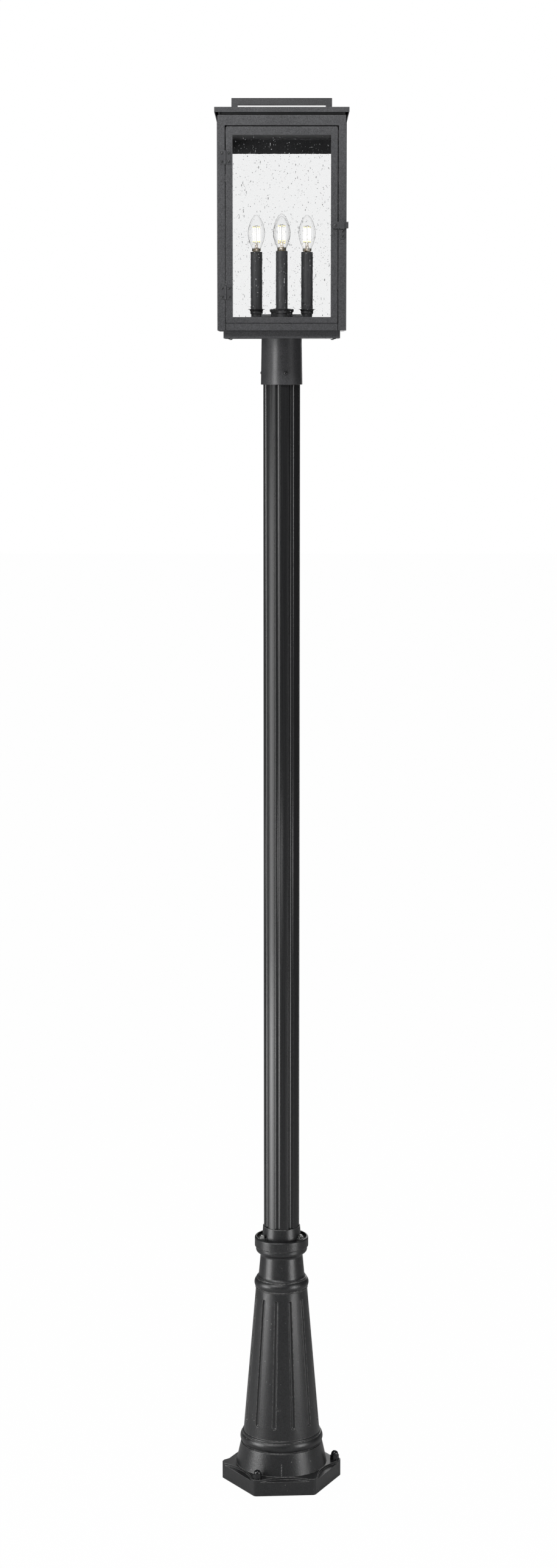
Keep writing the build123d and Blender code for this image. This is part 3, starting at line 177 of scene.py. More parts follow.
class Finish:
    """A finish's shader, put together node by node."""

    def __init__(self, name):
        self.material = bpy.data.materials.new(name)
        self.material.use_nodes = True
        self.tree = self.material.node_tree
        self.tree.nodes.clear()
        self.output = self.add("ShaderNodeOutputMaterial")
        self.place = self.add("ShaderNodeTexCoord").outputs["Object"]

    def add(self, kind, **settings):
        node = self.tree.nodes.new(kind)
        for key, value in settings.items():
            setattr(node, key, value)
        return node

    def join(self, source, target):
        self.tree.links.new(source, target)

    def feed(self, socket, value):
        """Link an output to a socket, or set its value."""
        if isinstance(value, bpy.types.NodeSocket):
            self.join(value, socket)
        else:
            socket.default_value = value

    def drawn_out(self, scale):
        """The object's coordinates, scaled along each axis."""
        mapping = self.add("ShaderNodeMapping")
        self.join(self.place, mapping.inputs["Vector"])
        mapping.inputs["Scale"].default_value = scale
        return mapping.outputs["Vector"]

    def place_axes(self):
        """The x, y and z of a point on the piece."""
        split = self.add("ShaderNodeSeparateXYZ")
        self.join(self.place, split.inputs[0])
        return split.outputs

    def cloud(self, scale, detail=3.0, roughness=0.5, vector=None):
        """Noise between 0 and 1, whose scale is about how many clouds there are in a metre."""
        node = self.add("ShaderNodeTexNoise")
        self.join(vector or self.place, node.inputs["Vector"])
        node.inputs["Scale"].default_value = scale
        node.inputs["Detail"].default_value = detail
        node.inputs["Roughness"].default_value = roughness
        return node.outputs["Fac"]

    def dots(self, scale, size, softness):
        """Small round spots: 1 inside and 0 outside."""
        node = self.add("ShaderNodeTexVoronoi")
        self.join(self.place, node.inputs["Vector"])
        node.inputs["Scale"].default_value = scale
        return self.ranged(node.outputs["Distance"], size, size + softness, 1.0, 0.0)

    def ranged(self, value, low, high, to_low, to_high):
        """The value's run from low to high, brought to run from to_low to to_high, and held there."""
        node = self.add("ShaderNodeMapRange")
        self.feed(node.inputs["Value"], value)
        ends = {"From Min": low, "From Max": high, "To Min": to_low, "To Max": to_high}
        for key, number in ends.items():
            node.inputs[key].default_value = number
        return node.outputs["Result"]

    def swayed(self, cloud, low, high):
        """A cloud's usual spread, brought to run from low to high."""
        return self.ranged(cloud, CLOUD_LOW, CLOUD_HIGH, low, high)

    def maths(self, operation, a, b):
        node = self.add("ShaderNodeMath", operation=operation)
        self.feed(node.inputs[0], a)
        self.feed(node.inputs[1], b)
        return node.outputs[0]

    def away_from(self, value, middle):
        """How far a value is from the middle, whichever way."""
        return self.maths("ABSOLUTE", self.maths("SUBTRACT", value, middle), 0.0)

    def mixed(self, share, a, b):
        """A colour between a and b."""
        node = self.add("ShaderNodeMix", data_type="RGBA")
        self.feed(node.inputs["Factor"], share)
        self.feed(node.inputs[6], a if isinstance(a, bpy.types.NodeSocket) else (*a, 1.0))
        self.feed(node.inputs[7], b if isinstance(b, bpy.types.NodeSocket) else (*b, 1.0))
        return node.outputs[2]

    def toned(self, colour, tone):
        """The colour, darker or paler as the tone goes from -0.5 to 0.5."""
        share = self.maths("ADD", tone, 0.5)
        return self.mixed(share, dimmed(colour, DARKEST_TONE), dimmed(colour, PALEST_TONE))

    def bump(self, height, distance, strength=1.0, normal=None):
        node = self.add("ShaderNodeBump")
        self.join(height, node.inputs["Height"])
        node.inputs["Distance"].default_value = distance
        node.inputs["Strength"].default_value = strength
        if normal is not None:
            self.join(normal, node.inputs["Normal"])
        return node.outputs["Normal"]

    def eased_edges(self, radius):
        """A normal that rounds sharp edges."""
        node = self.add("ShaderNodeBevel", samples=4)
        node.inputs["Radius"].default_value = radius
        return node.outputs["Normal"]

    def turned_away(self, normal, low, high):
        """1 where an eased normal leans off the face's own, as along an edge, and 0 elsewhere."""
        own = self.add("ShaderNodeNewGeometry").outputs["Normal"]
        likeness = self.add("ShaderNodeVectorMath", operation="DOT_PRODUCT")
        self.join(normal, likeness.inputs[0])
        self.join(own, likeness.inputs[1])
        return self.ranged(likeness.outputs["Value"], low, high, 1.0, 0.0)

    def shader(self, **sockets):
        node = self.add("ShaderNodeBsdfPrincipled")
        names = {
            "colour": "Base Color",
            "metallic": "Metallic",
            "roughness": "Roughness",
            "normal": "Normal",
            "ior": "IOR",
            "transmission": "Transmission Weight",
            "glow": "Emission Color",
            "glow_strength": "Emission Strength",
        }
        for key, value in sockets.items():
            colour = key in ("colour", "glow") and not isinstance(value, bpy.types.NodeSocket)
            self.feed(node.inputs[names[key]], (*value, 1.0) if colour else value)
        return node.outputs["BSDF"]

    def mixed_shader(self, share, a, b):
        node = self.add("ShaderNodeMixShader")
        self.feed(node.inputs["Fac"], share)
        self.join(a, node.inputs[1])
        self.join(b, node.inputs[2])
        return node.outputs["Shader"]

    def lamp_light_passes(self, shader):
        """The shader, but clear to the rays from the lamps."""
        path = self.add("ShaderNodeLightPath")
        clear = self.add("ShaderNodeBsdfTransparent")
        return self.mixed_shader(path.outputs["Is Shadow Ray"], shader, clear.outputs["BSDF"])

    def done(self, shader):
        self.join(shader, self.output.inputs["Surface"])
        return self.material


def dimmed(colour, share):
    return tuple(c * share for c in colour)


def sprayed_coat(name, colour, roughness, grain):
    """Baked powder on sheet and bar: a fine speckled grain, faint blotches, and eased edges."""
    f = Finish(name)
    speckle = f.cloud(650.0, 2.0, 0.7)
    blotch = f.cloud(9.0, 3.0, 0.5)
    tone = f.maths("ADD", f.swayed(speckle, -grain, grain), f.swayed(blotch, -0.05, 0.05))
    rough = f.swayed(f.cloud(14.0, 4.0, 0.6), roughness - 0.05, roughness + 0.05)
    normal = f.bump(speckle, SPRAY_GRAIN_DEPTH * grain, 0.8, f.eased_edges(SHEET_EDGE_R))
    return f.done(f.shader(colour=f.toned(colour, tone), roughness=rough, normal=normal))


def cast_coat():
    """Glossy black on the casting: a sand texture, pale chips, pale edges that are partly rubbed wear
    and partly a painted highlight, and the mould's seam.
    """
    f = Finish("glossy_cast_coat")
    speckle = f.cloud(430.0, 2.0, 0.7)
    sand = f.cloud(200.0, 3.0, 0.6)
    blotch = f.cloud(12.0, 3.0, 0.5)
    tone = f.maths("ADD", f.swayed(speckle, -0.40, 0.40), f.swayed(blotch, -0.08, 0.08))
    knocks = f.ranged(f.cloud(26.0, 2.0), 0.55, 0.62, 0.0, 0.9)
    chips = f.maths("MULTIPLY", f.dots(130.0, 0.05, 0.06), knocks)
    scuffs = f.ranged(f.cloud(1.0, 3.0, 0.7, f.drawn_out((420.0, 420.0, 60.0))), 0.68, 0.78, 0.0, 0.5)
    scuffs = f.maths("MULTIPLY", scuffs, f.ranged(f.cloud(19.0, 2.0), 0.50, 0.60, 0.0, 1.0))
    edges = f.eased_edges(CASTING_EDGE_R)
    # Pale along eased edges: partly rubbed wear, partly a painted highlight where edges catch the
    # light
    edge_highlight_share = f.ranged(sand, 0.40, 0.60, 0.08, 0.50)
    edge_highlight_and_rub = f.maths("MULTIPLY", f.turned_away(edges, 0.90, 0.985), edge_highlight_share)
    bared_or_edge_lit = f.maths("MAXIMUM", f.maths("MAXIMUM", chips, scuffs), edge_highlight_and_rub)
    tint = f.mixed(bared_or_edge_lit, f.toned(BLACK_CAST_COAT, tone), PALE_CHIP_AND_EDGE_HIGHLIGHT)
    seam = mould_seam(f)
    tint = f.mixed(seam, tint, SEAM_GREY)
    rough = f.swayed(f.cloud(18.0, 4.0, 0.6), 0.29, 0.37)
    grain = f.bump(speckle, CAST_GRAIN_DEPTH, 0.7, f.bump(sand, SAND_DEPTH, 0.7, edges))
    return f.done(f.shader(colour=tint, roughness=rough, normal=f.bump(seam, SEAM_STEP, 1.0, grain)))


def mould_seam(f):
    """1 on a broken upright line at the front of the skirt's foot, and 0 elsewhere."""
    across, deep, up = f.place_axes()
    line = f.ranged(f.away_from(across, SEAM_SIDE), SEAM_HALF_W * 0.6, SEAM_HALF_W, 1.0, 0.0)
    length = f.ranged(f.away_from(up, SEAM_MIDDLE_Z), SEAM_HALF_L * 0.8, SEAM_HALF_L, 1.0, 0.0)
    front = f.maths("LESS_THAN", deep, 0.0)
    broken = f.ranged(f.cloud(500.0, 2.0), 0.42, 0.50, 0.0, 1.0)
    return f.maths("MULTIPLY", f.maths("MULTIPLY", line, length), f.maths("MULTIPLY", front, broken))


def post_coat():
    """Glossy black on the drawn tube, with faint die lines along it."""
    f = Finish("glossy_post_coat")
    die_lines = f.cloud(1.0, 4.0, 0.6, f.drawn_out((420.0, 420.0, 5.0)))
    speckle = f.cloud(620.0, 2.0, 0.7)
    tone = f.maths("ADD", f.swayed(speckle, -0.10, 0.10), f.swayed(die_lines, -0.08, 0.08))
    rough = f.swayed(die_lines, 0.22, 0.30)
    grain = f.bump(speckle, POST_GRAIN_DEPTH, 0.5, f.eased_edges(SMALL_EDGE_R))
    normal = f.bump(die_lines, DIE_LINE_DEPTH, 0.5, grain)
    return f.done(f.shader(colour=f.toned(BLACK_POST_COAT, tone), roughness=rough, normal=normal))


def screw_coat(name, colour, roughness):
    """Blackened screws and nuts, shinier than what they hold."""
    f = Finish(name)
    speckle = f.cloud(900.0, 2.0, 0.6)
    tint = f.mixed(speckle, dimmed(colour, 0.6), dimmed(colour, 1.4))
    rough = f.swayed(f.cloud(160.0, 3.0), roughness - 0.04, roughness + 0.04)
    normal = f.bump(speckle, SCREW_GRAIN_DEPTH, 0.5, f.eased_edges(SMALL_EDGE_R))
    return f.done(f.shader(colour=tint, roughness=rough, normal=normal))


def stud_steel():
    """Bare steel that shows through the black on the studs' nuts."""
    f = Finish("rubbed_stud_steel")
    rub = f.ranged(f.cloud(190.0, 2.0), 0.40, 0.56, 0.0, 1.0)
    tint = f.mixed(rub, BLACK_SCREW_COAT, STUD_STEEL)
    edges = f.eased_edges(SMALL_EDGE_R)
    return f.done(f.shader(colour=tint, metallic=0.7, roughness=0.24, normal=edges))


def nickel_plate():
    """Bright nickel with turned rings and a few brassy smudges."""
    f = Finish("nickel_plate")
    rings = f.add("ShaderNodeTexWave", wave_type="BANDS", bands_direction="Z", wave_profile="SIN")
    f.join(f.place, rings.inputs["Vector"])
    rings.inputs["Scale"].default_value = 130.0
    smudge = f.cloud(150.0, 3.0, 0.6)
    rough = f.swayed(smudge, 0.22, 0.40)
    tint = f.mixed(f.ranged(smudge, 0.42, 0.58, 0.0, 1.0), BRASS_TINT, NICKEL)
    normal = f.bump(rings.outputs["Fac"], TURNED_RING_DEPTH, 0.8)
    return f.done(f.shader(colour=tint, metallic=1.0, roughness=rough, normal=normal))


def white_holder():
    """The lamp holders' moulded plastic."""
    f = Finish("white_holder")
    cloud = f.cloud(60.0, 3.0)
    tint = f.mixed(f.swayed(cloud, 0.0, 1.0), dimmed(HOLDER_WHITE, 0.92), HOLDER_WHITE)
    return f.done(f.shader(colour=tint, roughness=0.45, normal=f.bump(cloud, HOLDER_GRAIN_DEPTH, 0.4)))


def pane_glass():
    """Clear seeded sheet, whose face is gently uneven."""
    f = Finish("pane_glass")
    sag = f.cloud(1.0, 2.0, 0.5, f.drawn_out((110.0, 110.0, 60.0)))
    ripple = f.cloud(1.0, 1.0, 0.5, f.drawn_out((420.0, 420.0, 240.0)))
    normal = f.bump(sag, PANE_SAG, 1.0, f.bump(ripple, PANE_RIPPLE, 1.0))
    glass = f.shader(colour=PANE_TINT, transmission=1.0, roughness=0.0, ior=1.42, normal=normal)
    return f.done(f.lamp_light_passes(glass))


def bubble_walls():
    """The bubbles' walls: partly a dimmed see-through, a painted shade that shows on pale, and partly
    a lit grey, a painted glint that shows on dark; both stand in for light that the bubbles bend.
    """
    f = Finish("bubble_walls")
    cloud = f.cloud(170.0, 2.0)
    spread = f.ranged(cloud, 0.38, 0.62, 0.0, 1.0)
    # Painted glint: a grey that the lamps light, showing the bubbles bright over dark
    grey = f.mixed(spread, dimmed(BUBBLE_GLINT_GREY, 0.5), dimmed(BUBBLE_GLINT_GREY, 1.6))
    painted_glint_side = f.shader(colour=grey, roughness=0.25)
    # Painted shade: the see-through dimmed, showing the bubbles dark over pale
    clear = f.add("ShaderNodeBsdfTransparent")
    clear.inputs["Color"].default_value = (*BUBBLE_SEE_THROUGH_SHADE, 1.0)
    share = f.ranged(f.cloud(140.0, 1.0), 0.38, 0.62, 0.25, 0.6)
    return f.done(f.lamp_light_passes(f.mixed_shader(share, clear.outputs["BSDF"], painted_glint_side)))


def blown_bulb_glass():
    """Thin blown glass: clear face on, with a fine dark line of painted shade where it is seen edge
    on, in place of the light that the glass bends there.
    """
    f = Finish("blown_bulb_glass")
    edge = f.add("ShaderNodeLayerWeight")
    edge.inputs["Blend"].default_value = 0.5
    # Painted shade: the glass darkens towards where it is seen edge on
    edge_shade_share = f.ranged(edge.outputs["Facing"], 0.62, 0.86, 0.0, 1.0)
    shade = f.mixed(f.maths("POWER", edge_shade_share, 2.0), BULB_FACE, BULB_EDGE_SHADE)
    clear = f.add("ShaderNodeBsdfTransparent")
    f.join(shade, clear.inputs["Color"])
    gloss = f.add("ShaderNodeBsdfGlossy")
    gloss.inputs["Roughness"].default_value = 0.03
    gloss.inputs["Color"].default_value = (*BULB_GLOSS, 1.0)
    fresnel = f.add("ShaderNodeFresnel")
    fresnel.inputs["IOR"].default_value = 1.35
    share = f.maths("MULTIPLY", fresnel.outputs["Fac"], 0.12)
    return f.done(f.mixed_shader(share, clear.outputs["BSDF"], gloss.outputs["BSDF"]))


def lit(name, colour, strength):
    """A lit part of a filament, a little uneven along its length."""
    f = Finish(name)
    tint = f.mixed(f.swayed(f.cloud(500.0, 2.0), 0.0, 1.0), dimmed(colour, 0.85), colour)
    return f.done(f.shader(colour=tint, roughness=0.4, glow=tint, glow_strength=strength))


def support_wire():
    f = Finish("support_wire")
    tint = f.mixed(f.cloud(900.0, 2.0), dimmed(SUPPORT_WIRE, 0.5), dimmed(SUPPORT_WIRE, 1.5))
    return f.done(f.shader(colour=tint, metallic=0.6, roughness=0.35))


def stem_glass():
    """The glass stem that the wires are pinched in, browned by the flame that sealed it."""
    f = Finish("stem_glass")
    mottle = f.cloud(420.0, 3.0, 0.7)
    tint = f.mixed(f.ranged(mottle, 0.40, 0.60, 0.0, 1.0), dimmed(STEM_BROWN, 0.35), STEM_PALE)
    return f.done(f.shader(colour=tint, roughness=0.15, normal=f.bump(mottle, STEM_MOTTLE_DEPTH, 0.6)))


FINISHES = {
    "lantern_coat": sprayed_coat("charcoal_lantern_coat", CHARCOAL_COAT, roughness=0.36, grain=0.46),
    "cast_coat": cast_coat(),
    "post_coat": post_coat(),
    "fastener_coat": screw_coat("blackened_screws", BLACK_SCREW_COAT, roughness=0.25),
    "anchor_metal": screw_coat("gloss_black_nuts", GLOSS_BLACK, roughness=0.13),
    "seeded_glass": pane_glass(),
    "clear_glass": blown_bulb_glass(),
    "plated_steel": nickel_plate(),
    "lamp_holder": white_holder(),
    "filament": lit("phosphor_ends", PHOSPHOR_YELLOW, strength=0.9),
}
CANDLE_COAT = sprayed_coat("black_candle_coat", BLACK_CANDLE_COAT, roughness=0.29, grain=0.12)
HARDWARE_COAT = sprayed_coat("hinge_and_latch_coat", HARDWARE_CHARCOAL, roughness=0.34, grain=0.15)
# The lantern's own coat, darker as painted shade for the pieces inside the roof
PAINTED_SHADE_INNER_COAT = sprayed_coat("painted_shade_inner_coat", SHADED_INSIDE_CHARCOAL, roughness=0.42, grain=0.30)
STUDS = stud_steel()
# The ceiling plate, top frame and rear upper rail get the coat darkened as painted shade
OWN_FINISHES = {
    "ceiling_plate": PAINTED_SHADE_INNER_COAT,
    "top_frame": PAINTED_SHADE_INNER_COAT,
    "rear_upper_rail": PAINTED_SHADE_INNER_COAT,
    "flange_studs": STUDS,
}
BUBBLE_WALLS = bubble_walls()
LIT_STRIPS = lit("lit_strips", LIT_STRIP, strength=1.8)
WIRES = support_wire()
STEMS = stem_glass()


def finish_nodes():
    """Give each CAD node its own finish where it has one, and else that of its slot."""
    for entry in frame["record"]["subparts"]:
        node = entry["node"]
        finish = OWN_FINISHES.get(node, FINISHES[entry["material_slot"]])
        if "candle" in node:
            finish = CANDLE_COAT
        elif "leaf" in node or node.startswith("latch"):
            finish = HARDWARE_COAT
        mesh = NODES[node].data
        mesh.materials.clear()
        mesh.materials.append(finish)


def closed_skin(rows, foot, tip):
    """Joins rows of points that go round into a skin, which foot and tip close.

    Row i and column k is a point of the grid. Each square of the grid is a face, and a fan
    of triangles joins the first row to foot and the last row to tip.
    """
    count, around = rows.shape[:2]
    here = np.arange(around)
    after = (here + 1) % around
    row = np.arange(count - 1)[:, None] * around
    squares = np.stack([row + here, row + after, row + around + after, row + around + here], axis=-1)
    last = (count - 1) * around
    foot_at = np.full(around, count * around)
    foot_fan = np.stack([foot_at, after, here], axis=-1)
    tip_fan = np.stack([foot_at + 1, last + here, last + after], axis=-1)
    points = np.concatenate([rows.reshape(-1, 3), [foot, tip]])
    return points, squares.reshape(-1, 4), np.concatenate([foot_fan, tip_fan])


def turned_skin(radii, heights, around):
    """A profile of radii and heights turned about the z axis, closed at both ends.

    The point at angle a on the profile's point (r, z) is (r cos a, r sin a, z).
    """
    angle = np.arange(around) * TURN / around
    across = radii[:, None] * np.cos(angle)
    deep = radii[:, None] * np.sin(angle)
    up = np.broadcast_to(heights[:, None], across.shape)
    return closed_skin(np.stack([across, deep, up], axis=-1), (0, 0, heights[0]), (0, 0, heights[-1]))


def wire_skin(path, radius, around=6):
    """A round section carried along a path, closed at both ends.

    At each point of the path, two directions square to the path and to each other carry the
    section: the point at angle a is the path's point plus radius times (side cos a + up sin a).
    The side is square to a direction that no wire runs along.
    """
    along = np.gradient(path, axis=0)
    along /= np.linalg.norm(along, axis=1, keepdims=True)
    side = np.cross(along, OFF_EVERY_WIRE)
    side /= np.linalg.norm(side, axis=1, keepdims=True)
    up = np.cross(along, side)
    angle = np.arange(around)[:, None] * TURN / around
    rows = path[:, None] + radius * (side[:, None] * np.cos(angle) + up[:, None] * np.sin(angle))
    return closed_skin(rows, path[0], path[-1])


def copied(points, squares, triangles):
    """Copies as one skin: each row of points is a copy, and the faces count on from copy to copy."""
    step = np.arange(len(points))[:, None, None] * points.shape[1]
    return points.reshape(-1, 3), (squares + step).reshape(-1, 4), (triangles + step).reshape(-1, 3)


def at_places(skin, places):
    """The skin at each place: every point plus the place's shift."""
    points, squares, triangles = skin
    return copied(points + places[:, None], squares, triangles)


def together(skins):
    """Several skins as one."""
    first = np.cumsum([0] + [len(points) for points, _, _ in skins[:-1]])
    points = np.concatenate([skin[0] for skin in skins])
    squares = np.concatenate([skin[1] + start for skin, start in zip(skins, first)])
    triangles = np.concatenate([skin[2] + start for skin, start in zip(skins, first)])
    return points, squares, triangles


def piece(name, skin, finish, body):
    """A smooth object from a skin, in its finish and slot, that moves with its CAD body."""
    points, squares, triangles = skin
    mesh = bpy.data.meshes.new(name)
    mesh.from_pydata(points.tolist(), [], squares.tolist() + triangles.tolist())
    mesh.polygons.foreach_set("use_smooth", np.ones(len(mesh.polygons), dtype=bool))
    mesh.materials.append(finish)
    made = bpy.data.objects.new(name, mesh)
    bpy.context.scene.collection.objects.link(made)
    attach(made, body)
    return made


def unit_bubble():
    """A ball of radius 1: a row of radius sin p and height -cos p at even steps of the angle p."""
    polar = np.arange(1, BUBBLE_ROWS + 1) * math.pi / (BUBBLE_ROWS + 1)
    points, squares, triangles = turned_skin(np.sin(polar), -np.cos(polar), BUBBLE_AROUND)
    points[-2:, 2] = (-1, 1)
    return points, squares, triangles


def pane_bubbles(node, seed):
    """The bubbles in one pane, scattered at even chance, most of them small and round.

    A bubble is the unit ball times its three radii, leaned by a share of its height, plus its
    place. The radius is the least radius plus a spread times the cube of an even random number,
    and the length is the radius times 1 plus a share of the longest by the eleventh power of another.
    """
    low, high = (np.array(corner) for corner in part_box(node))
    thin = int(np.argmin(high - low))
    wide = 1 - thin
    chance = np.random.default_rng(seed)
    count = BUBBLES_IN_A_PANE
    radius = BUBBLE_R + BUBBLE_R_SPREAD * chance.random(count) ** 3
    room = (high[thin] - low[thin]) / 2 * PANE_DEPTH_SHARE
    radii = np.empty((count, 3))
    radii[:, thin] = np.minimum(radius, room * 0.8)
    radii[:, wide] = radius
    radii[:, 2] = radius * (1 + (BUBBLE_LONGEST - 1) * chance.random(count) ** 11)
    margin = np.full(3, PANE_MARGIN)
    margin[thin] = 0
    margin[2] += BUBBLE_LONGEST * BUBBLE_R
    places = chance.uniform(low + margin, high - margin, (count, 3))
    depth = chance.uniform(-1, 1, count) * (room - radii[:, thin])
    places[:, thin] = (low[thin] + high[thin]) / 2 + depth
    points, squares, triangles = unit_bubble()
    bubbles = points * radii[:, None]
    bubbles[:, :, wide] += bubbles[:, :, 2] * chance.uniform(-BUBBLE_LEAN, BUBBLE_LEAN, (count, 1))
    return copied(bubbles + places[:, None], squares, triangles)


def make_bubbles():
    panes = (
        ("door_glass", DOOR),
        ("left_glass", LANTERN_AND_POST),
        ("right_glass", LANTERN_AND_POST),
        ("rear_glass", LANTERN_AND_POST),
    )
    for number, (node, body) in enumerate(panes):
        skin = pane_bubbles(node, FIRST_BUBBLE_SEED + number)
        piece(f"{node}_bubbles", skin, BUBBLE_WALLS, body)


def bulb_axes():
    """The foot of each bulb's axis, front, right, rear and left, and the glass's height."""
    low, high = (np.array(corner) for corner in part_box("bulb_glass"))
    reach = (high[0] - low[0]) / 2 - BULB_BELLY_R
    axes = np.array([(0, -reach, low[2]), (reach, 0, low[2]), (0, reach, low[2]), (-reach, 0, low[2])])
    return axes, high[2] - low[2]


def bulb_skin(height):
    """A candle bulb, turned.

    With t from 0 at the foot to 1 at the tip, the radius below the belly is the neck's plus the
    rest times sin(90 degrees of the way up), and above it the belly's times (1 - s^1.5)^0.56,
    where s is how far t has come from the belly to the tip. The rows stand closer near the tip.
    """
    share = 1 - np.linspace(1, 0, BULB_ROWS + 1)[:-1] ** 1.5
    rise = np.clip(share / BULB_BELLY_AT, 0, 1)
    close = np.clip((share - BULB_BELLY_AT) / (1 - BULB_BELLY_AT), 0, 1)
    below = BULB_NECK_R + (BULB_BELLY_R - BULB_NECK_R) * np.sin(rise * math.pi / 2)
    above = BULB_BELLY_R * (1 - close**1.5) ** 0.56
    points, squares, triangles = turned_skin(
        np.where(share < BULB_BELLY_AT, below, above), share * height, BULB_AROUND
    )
    points[-1, 2] = height
    return points, squares, triangles


def make_bulb_glass():
    axes, height = bulb_axes()
    glass = piece(
        "bulb_envelopes",
        at_places(bulb_skin(height), axes),
        FINISHES["clear_glass"],
        LANTERN_AND_POST,
    )
    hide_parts("bulb_glass")


def strip_spots():
    """Where a bulb's four strips stand about its axis."""
    angle = np.radians(STRIP_TURN + 90 * np.arange(4))
    return np.stack([np.cos(angle), np.sin(angle), np.zeros(4)], axis=-1) * STRIP_CIRCLE_R


def lit_strip():
    """A strip's lit length: its radius swells from 0.8 of its full size at the ends as sin does."""
    way = np.linspace(0, 1, 7)
    low, high = STRIP_FOOT_RISE + STRIP_END, STRIP_TOP_RISE - STRIP_END
    radius = STRIP_R * (0.8 + 0.2 * np.sin(way * math.pi))
    return turned_skin(radius, low + (high - low) * way, ROD_AROUND)


def strip_ends():
    """A strip's two phosphor ends: short bars whose radius falls to half at each end."""
    way = np.linspace(0, 1, 5)
    radius = STRIP_R * (1 - 0.5 * np.abs(2 * way - 1) ** 3)
    starts = (STRIP_FOOT_RISE, STRIP_TOP_RISE - STRIP_END)
    return together([turned_skin(radius, start + STRIP_END * way, ROD_AROUND) for start in starts])


def support_wires():
    """Wires from the stem's foot and top to each strip's ends.

    A wire's path goes straight outwards from a quarter of the way to the strip's place, and drifts
    up or down with the square of the way back in.
    """
    way = np.linspace(0, 1, 6)[:, None]
    wires = []
    for spot in strip_spots():
        for rise, drift in ((STRIP_FOOT_RISE, DRIFT_AT_FOOT), (STRIP_TOP_RISE, DRIFT_AT_TOP)):
            path = spot * (0.25 + 0.75 * way)
            path[:, 2:] = rise + drift * (1 - way) ** 2
            wires.append(wire_skin(path, WIRE_R))
    return together(wires)


def wire_hooks():
    """A small dark bead of weld at each end of each strip: a ball twice as thick as the wire."""
    polar = np.arange(1, 6) * math.pi / 6
    size = WIRE_R * 2
    ball = turned_skin(np.sin(polar) * size, -np.cos(polar) * size, 8)
    spots = strip_spots()
    foot = spots + (0, 0, STRIP_FOOT_RISE - size)
    top = spots + (0, 0, STRIP_TOP_RISE + size)
    return at_places(ball, np.concatenate([foot, top]))


def bulb_stem():
    """The pinched glass stem, turned from a list of radii and heights."""
    radii = np.array([0.0050, 0.0034, 0.0031, 0.0036, 0.0022, 0.0011, 0.0006])
    heights = np.array([0.0002, 0.0022, 0.0045, 0.0070, 0.0090, 0.0104, 0.0112])
    return turned_skin(radii, heights, 20)


def bulb_mast():
    """The clear glass rod from the stem to the upper wires, a little thicker at its middle."""
    way = np.linspace(0, 1, 7)
    top = STRIP_TOP_RISE + DRIFT_AT_TOP
    radius = MAST_R * (1 + 0.2 * np.sin(way * math.pi))
    return turned_skin(radius, MAST_FOOT + (top - MAST_FOOT) * way, ROD_AROUND)


def make_filaments():
    """Four lit strips in each bulb, with phosphor ends, wires, weld beads, a stem and a mast."""
    axes, _ = bulb_axes()
    spots = strip_spots()
    looks = (
        ("filament_strips", at_places(lit_strip(), spots), LIT_STRIPS),
        ("filament_ends", at_places(strip_ends(), spots), FINISHES["filament"]),
        ("filament_wires", together([support_wires(), wire_hooks()]), WIRES),
        ("filament_stems", bulb_stem(), STEMS),
        ("filament_masts", bulb_mast(), FINISHES["clear_glass"]),
    )
    made = [
        piece(name, at_places(skin, axes), finish, LANTERN_AND_POST)
        for name, skin, finish in looks
    ]
    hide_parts("bulb_filaments")


def seen_unlit(f):
    """1 for a ray from the camera that has met nothing but glass, and 0 for the rest."""
    path = f.add("ShaderNodeLightPath")
    straight = f.maths("MAXIMUM", path.outputs["Is Camera Ray"], path.outputs["Is Transmission Ray"])
    bounces = f.maths("ADD", path.outputs["Diffuse Depth"], path.outputs["Glossy Depth"])
    return f.maths("MULTIPLY", straight, f.maths("LESS_THAN", bounces, 0.5))


def seen_in_gloss(f):
    """1 for a ray that comes off a glossy face, through glass or not, and has met no dull one."""
    path = f.add("ShaderNodeLightPath")
    glossy = f.maths("MAXIMUM", path.outputs["Is Glossy Ray"], path.outputs["Glossy Depth"])
    dull = f.maths("GREATER_THAN", path.outputs["Diffuse Depth"], 0.5)
    return f.maths("GREATER_THAN", f.maths("SUBTRACT", glossy, dull), 0.5)


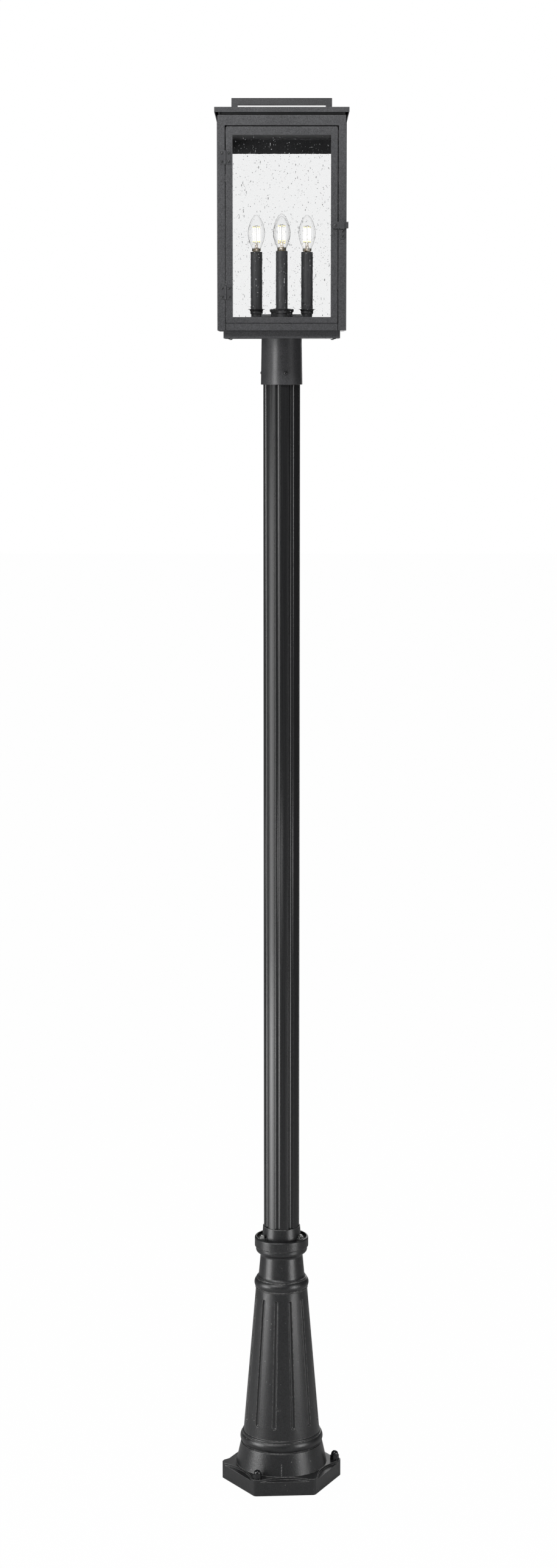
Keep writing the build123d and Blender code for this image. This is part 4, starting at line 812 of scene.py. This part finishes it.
def make_floor():
    """A wide white floor, which keeps a faint shadow: one square face."""
    mesh = bpy.data.meshes.new("floor")
    corners = np.array([(-1, -1, 0), (1, -1, 0), (1, 1, 0), (-1, 1, 0)]) * FLOOR_REACH
    mesh.from_pydata(corners.tolist(), [], [(0, 1, 2, 3)])
    floor = bpy.data.objects.new("floor", mesh)
    bpy.context.scene.collection.objects.link(floor)
    f = Finish("white_floor")
    matte = f.add("ShaderNodeBsdfDiffuse")
    matte.inputs["Color"].default_value = (*FLOOR_GREY, 1.0)
    white = f.add("ShaderNodeEmission")
    share = f.maths("MULTIPLY", seen_unlit(f), FLOOR_WHITE_SHARE)
    shader = f.mixed_shader(share, matte.outputs["BSDF"], white.outputs["Emission"])
    mesh.materials.append(f.done(shader))


class Backdrop(Finish):
    """The world's shader, put together as a finish is."""

    def __init__(self, name):
        self.world = bpy.data.worlds.new(name)
        self.world.use_nodes = True
        self.tree = self.world.node_tree
        self.tree.nodes.clear()
        self.output = self.add("ShaderNodeOutputWorld")

    def level(self, strength):
        shade = self.add("ShaderNodeBackground")
        shade.inputs["Color"].default_value = (1.0, 1.0, 1.0, 1.0)
        shade.inputs["Strength"].default_value = strength
        return shade.outputs[0]


def make_backdrop():
    """White to the camera and through glass, and dimmer to glossy faces and to all else."""
    f = Backdrop("studio")
    dim = f.mixed_shader(seen_in_gloss(f), f.level(FILL_LEVEL), f.level(MIRROR_LEVEL))
    f.join(f.mixed_shader(seen_unlit(f), dim, f.level(1.0)), f.output.inputs["Surface"])
    bpy.context.scene.world = f.world


def softbox(name, place, target, size, power):
    """A rectangular lamp aimed at a point."""
    data = bpy.data.lights.new(name, "AREA")
    data.shape = "RECTANGLE"
    data.size, data.size_y = size
    data.energy = power
    lamp = bpy.data.objects.new(name, data)
    bpy.context.scene.collection.objects.link(lamp)
    lamp.location = place
    aim = [t - p for p, t in zip(place, target)]
    flat = math.hypot(aim[0], aim[1])
    lamp.rotation_euler = (math.atan2(flat, -aim[2]), 0.0, math.atan2(aim[1], aim[0]) - math.pi / 2)
    lamp.visible_camera = False
    lamp.visible_transmission = False


def light_studio():
    for lamp in LAMPS:
        softbox(*lamp)


def set_camera():
    data = bpy.data.cameras.new("camera")
    data.sensor_fit = "VERTICAL"
    data.sensor_height = FILM_HEIGHT
    data.lens = LENS
    data.clip_end = 100.0
    camera = bpy.data.objects.new("camera", data)
    bpy.context.scene.collection.objects.link(camera)
    camera.location = CAMERA_PLACE
    camera.rotation_euler = (math.radians(90 - CAMERA_PITCH), 0.0, 0.0)
    bpy.context.scene.camera = camera


set_camera()
make_backdrop()
light_studio()
make_floor()
finish_nodes()
make_bubbles()
make_bulb_glass()
make_filaments()
bpy.context.scene.view_settings.view_transform = "Standard"
